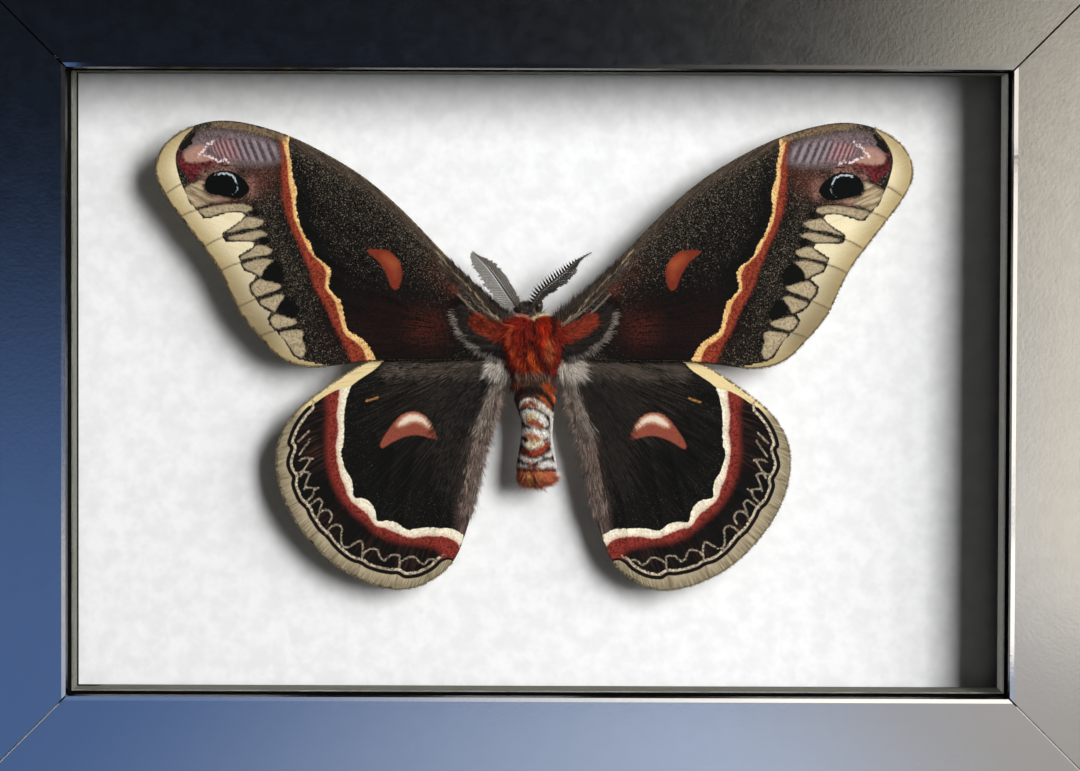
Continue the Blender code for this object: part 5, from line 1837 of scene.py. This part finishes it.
def make_legs():
    """Limbs along their CAD solids, rounder, swollen at the joints, with one coat of short hair."""
    look = leg_material()
    rng = np.random.default_rng(800)
    coat = []
    for kind, joints in LEG_JOINTS.items():
        for side_name, side in SIDES:
            node = f"leg_{kind}_{side_name}"
            low, high = node_box(node)
            line = even_steps(smooth(joints, 6), 0.25)
            share = np.linspace(0, 1, len(line))
            depth = np.full(len(line), (low[1] + high[1]) / 2)
            path = to_world(line[:, 0], depth, line[:, 1], side)
            radii = np.interp(share, np.linspace(0, 1, len(LEG_RADII)), LEG_RADII)
            points, faces = tube(path, radii, LEG_SIDES)
            make_piece(f"{node}_skin", points, faces, look, [node])
            corners, shares = scatter(points, faces, LEG_HAIRS, rng)
            roots = blend_at(points, corners, shares)
            nearest = ((roots[:, None] - path[None]) ** 2).sum(2).argmin(1)
            lie = unit(np.gradient(path, axis=0))[nearest] + 0.2 * rng.normal(size=roots.shape)
            normals = unit(roots - path[nearest])
            turn = np.arctan2(normals[:, 1], normals[:, 0]) / (2 * math.pi) + 0.5
            column = len(coat) + 0.9 * turn
            coat.append((roots, normals, lie, np.column_stack([column, 6 * share[nearest]])))
    roots, normals, lie, places = (np.vstack([row[k] for row in coat]) for k in range(4))
    count = len(roots)
    tone = np.array(linear(*LEG_HAIR_TONE)[:3]) * rng.uniform(0.6, 1.3, (count, 1))
    sizes = (rng.uniform(0.4, 0.8, count), rng.uniform(0.07, 0.11, count), np.full(count, 0.3),
             np.full(count, 0.2), 0.1 * rng.normal(size=count))
    make_coat("leg_coat", roots, normals, lie, spread_out(places), tone, sizes,
              hair_material("moth_leg_hair"), rows=2)


# Camera, floor and light.

CAMERA_DISTANCE = 645.0       # from the frame's front face
CAMERA_RISE = 20.0            # the camera stands this far above the case's middle
CAMERA_X = 0.22
CAMERA_ROLL = 0.2
VIEW_WIDTH = 190.3            # width of the picture at the frame's front face
AIM_Z = 73.97                 # height of the picture's middle there
SENSOR = 36.0


def make_camera():
    camera = bpy.data.cameras.new("photo_camera")
    camera.sensor_width = SENSOR
    camera.lens = SENSOR * CAMERA_DISTANCE / VIEW_WIDTH
    camera.clip_start = 0.01
    camera.clip_end = 20.0
    seat = bpy.data.objects.new("photo_camera", camera)
    place = Vector((CAMERA_X, LIP_Y - CAMERA_DISTANCE, MIDDLE_Z + CAMERA_RISE))
    aim = Vector((CAMERA_X, LIP_Y, AIM_Z))
    turn = (aim - place).to_track_quat("-Z", "Y").to_matrix().to_4x4()
    roll = Matrix.Rotation(math.radians(CAMERA_ROLL), 4, "Z")
    seat.matrix_world = Matrix.Translation(place * MM) @ turn @ roll
    bpy.context.scene.collection.objects.link(seat)
    bpy.context.scene.camera = seat


LAMP_AIM = Vector((0.0, 0.0, 0.074))   # the case's middle, in metres
WHITE_LIGHT = (1.0, 1.0, 1.0)

# Area lamps: azimuth (0 is straight in front, positive right) and elevation in degrees, distance,
# width and height in metres, watts and colour.
LAMPS = {
    "key_softbox": (29.5, 15.5, 1.1, 0.30, 0.58, 11.2, WHITE_LIGHT),
    "side_softbox": (44.5, 10.0, 1.35, 1.15, 0.85, 15.3, WHITE_LIGHT),
    "shadow_fill": (37.0, 13.0, 1.2, 0.5, 0.4, 1.2, (1.0, 0.93, 0.86)),
    "strip_fill": (-50.0, 0.0, 1.2, 0.3, 0.3, 24.0, (0.92, 0.90, 1.0)),
    "rear_fill": (165, 35, 1.8, 1.2, 0.9, 24, WHITE_LIGHT),
    "left_rear_fill": (-103, 12, 1.6, 0.7, 0.9, 8, (1.0, 0.94, 0.84)),
    "right_rear_fill": (130, 30, 1.6, 0.9, 0.9, 6, WHITE_LIGHT),
    "top_rear_fill": (180, 78, 1.5, 0.9, 0.3, 5, (1.0, 0.96, 0.88)),
}


def softbox(name, azimuth, elevation, distance, width, height, watts, color):
    """Area lamp that faces the case's middle."""
    lamp = bpy.data.lights.new(name, "AREA")
    lamp.shape = "RECTANGLE"
    lamp.size, lamp.size_y = width, height
    lamp.energy = watts
    lamp.color = color
    seat = bpy.data.objects.new(name, lamp)
    turn, lift = math.radians(azimuth), math.radians(elevation)
    flat = math.cos(lift)
    way = Vector((math.sin(turn) * flat, -math.cos(turn) * flat, math.sin(lift)))
    seat.location = LAMP_AIM + way * distance
    seat.rotation_euler = (LAMP_AIM - seat.location).to_track_quat("-Z", "Y").to_euler()
    bpy.context.scene.collection.objects.link(seat)
    return seat


def gathered(name, pieces):
    """A collection outside the scene, for the lamps and cards that reach only some pieces."""
    made = bpy.data.collections.new(name)
    for piece in pieces:
        made.objects.link(piece)
    return made


def sheet_object(name, corners, material):
    """A flat four-cornered mesh, in metres."""
    mesh = bpy.data.meshes.new(name)
    mesh.from_pydata(corners, [], [(0, 1, 2, 3)])
    mesh.materials.append(material)
    made = bpy.data.objects.new(name, mesh)
    bpy.context.scene.collection.objects.link(made)
    return made


REFLECTOR_Y = -0.95
REFLECTOR_SIZE = 1.2          # half its width and height
REFLECTOR_STRENGTH = 9.0
DARK_GLOW = (0.0055, 0.0062, 0.0060, 1)
BLUE_GLOW = (0.078, 0.146, 0.325, 1)
LEFT_BLUE_GLOW = (0.10, 0.17, 0.34, 1)
LOW_BLUE_GLOW = (0.14, 0.22, 0.42, 1)
PALE_GLOW = (0.470, 0.555, 0.720, 1)
DUSK_GLOW = (0.420, 0.400, 0.380, 1)
TOP_DUSK_GLOW = (0.40, 0.38, 0.35, 1)
WARM_GLOW = (0.960, 0.890, 0.750, 1)
WHITE_GLOW = (1.1, 1.0, 0.9, 1)
CREAM_GLOW = (1.55, 1.46, 1.28, 1)


def glow_card(name, corners, color_of, rails):
    """Glowing card that nothing sees but the gloss of the rails named."""
    s = Shader(f"{name}_glow")
    s.tree.nodes.remove(s.principled)
    place = s.node("ShaderNodeTexCoord").outputs["Object"]
    color = color_of(s, *s.node("ShaderNodeSeparateXYZ", {0: place}).outputs)
    glow = s.node("ShaderNodeEmission", {"Color": color, "Strength": REFLECTOR_STRENGTH})
    output = [n for n in s.tree.nodes if n.type == "OUTPUT_MATERIAL"][0]
    s.tree.links.new(glow.outputs[0], output.inputs["Surface"])
    card = sheet_object(name, corners, s.material)
    for sight in ("camera", "diffuse", "transmission", "volume_scatter", "shadow"):
        setattr(card, f"visible_{sight}", False)
    mirrors = gathered(f"{name}_mirrors", [frame["nodes"][rail] for rail in rails])
    card.light_linking.receiver_collection = mirrors


def upright_glow(s, x, y, z):
    """Dark above to the left, blue below to the left, warm to the right."""
    left = s.mix(s.step(z, 0.14, -0.025), DARK_GLOW, BLUE_GLOW)
    warm = s.mix(s.step(z, 0.36, 0.10), DARK_GLOW, WARM_GLOW)
    return s.mix(s.step(x, 0.125, 0.25), left, warm)


def lower_glow(s, x, y, z):
    """What the lower rails mirror: blue at the left, pale in the middle, greyer at the right."""
    color = s.mix(s.step(x, -0.105, 0.055), BLUE_GLOW, PALE_GLOW)
    near = s.mix(s.step(x, 0.03, 0.10), color, DUSK_GLOW)
    far = s.mix(s.step(x, 0.06, 0.18), BLUE_GLOW, WARM_GLOW)
    return s.mix(s.step(y, -0.20, -0.32), near, far)


def fade(axis, low, high, first, second):
    """Colour of a card that changes between two places on one axis."""
    return lambda s, *place: s.mix(s.step(place[axis], low, high), first, second)


def level_card(half, far, near, z):
    """Corners of a card that lies level across the scene's middle."""
    return [(-half, far, z), (half, far, z), (half, near, z), (-half, near, z)]


def side_card(x, far, near, low, high):
    """Corners of an upright card beside the case."""
    return [(x, far, low), (x, near, low), (x, near, high), (x, far, high)]


def make_reflectors():
    """What the rails mirror: an upright card behind the camera, one lying just over the floor in
    front of it, and one or two for each rail's inner bevel."""
    size, y, front = REFLECTOR_SIZE, REFLECTOR_Y, LIP_Y * MM
    upright = [(-size, y, 0), (size, y, 0), (size, y, size), (-size, y, size)]
    cream = fade(2, 0.16, 0.05, WHITE_GLOW, CREAM_GLOW)
    cards = {
        "upright_reflector": (upright, upright_glow, RAILS),
        "lower_reflector": (level_card(size, y, -0.02, 0.001), lower_glow, RAILS),
        "frame_left_reflector": (side_card(0.30, -0.70, -0.30, -0.10, 0.30),
                                 fade(2, 0.13, 0.0, DARK_GLOW, LEFT_BLUE_GLOW), ("frame_left",)),
        "frame_right_reflector": (side_card(-0.30, -0.70, -0.30, -0.10, 0.30), cream,
                                  ("frame_right",)),
        "frame_right_low_reflector": (side_card(0.04, front - 0.085, front - 0.03, 0.0185, 0.04),
                                      cream, ("frame_right",)),
        "frame_top_reflector": (level_card(0.0845, front - 0.035, front - 0.002, 0.115),
                                fade(0, 0.0, 0.12, DARK_GLOW, TOP_DUSK_GLOW), ("frame_top",)),
        "frame_bottom_reflector": (level_card(0.35, front - 0.60, front - 0.25, 0.35),
                                   fade(0, -0.11, 0.13, LOW_BLUE_GLOW, CREAM_GLOW),
                                   ("frame_bottom",)),
    }
    for name, (corners, color_of, rails) in cards.items():
        glow_card(name, corners, color_of, rails)


FLOOR_HALF = 3.0              # half the floor's width, in metres


def make_floor():
    """Pale seamless floor with the faintest mottling, which throws no light up on the case."""
    s = Shader("floor_seamless", Specular_IOR_Level=0.3)
    color = s.mix(s.noise(0.004, 3.0), (214, 212, 208), (226, 224, 220))
    corners = level_card(FLOOR_HALF, -FLOOR_HALF, FLOOR_HALF, 0)
    floor = sheet_object("floor", corners, s.finish(color, 0.7))
    floor.visible_diffuse = False


SKY_COLOR = (0.95, 0.97, 1.0, 1)
SKY_STRENGTH = 0.024
MOTH_NODES = ("head", "eye", "antenna", "thorax", "abdomen", "forewing", "hindwing", "leg")


def make_light():
    """A dim sky and the lamps. None of those in front lights the rails, the shadow fill passes
    through the moth, and the strip fill reaches the spacer only."""
    world = bpy.data.worlds.new("studio")
    world.use_nodes = True
    sky = world.node_tree.nodes["Background"]
    sky.inputs["Color"].default_value = SKY_COLOR
    sky.inputs["Strength"].default_value = SKY_STRENGTH
    bpy.context.scene.world = world
    lamps = {name: softbox(name, *look) for name, look in LAMPS.items()}
    nodes = frame["nodes"]
    case = [piece for name, piece in nodes.items() if not name.startswith(MOTH_NODES)]
    lamps["shadow_fill"].light_linking.blocker_collection = gathered("case_pieces", case)
    unlit = gathered("mirroring_rails", [nodes[name] for name in RAILS])
    for entry in unlit.collection_objects:
        entry.light_linking.link_state = "EXCLUDE"
    for name in ("key_softbox", "side_softbox", "shadow_fill"):
        lamps[name].light_linking.receiver_collection = unlit
    strip = gathered("inner_strip", [nodes["spacer_strip"]])
    lamps["strip_fill"].light_linking.receiver_collection = strip
    bpy.context.scene.view_settings.view_transform = "Standard"


dress_case()
lip_lining()
make_wing_coats(make_wings())
make_body()
make_antennae()
make_eyes()
make_legs()
make_camera()
make_reflectors()
make_floor()
make_light()
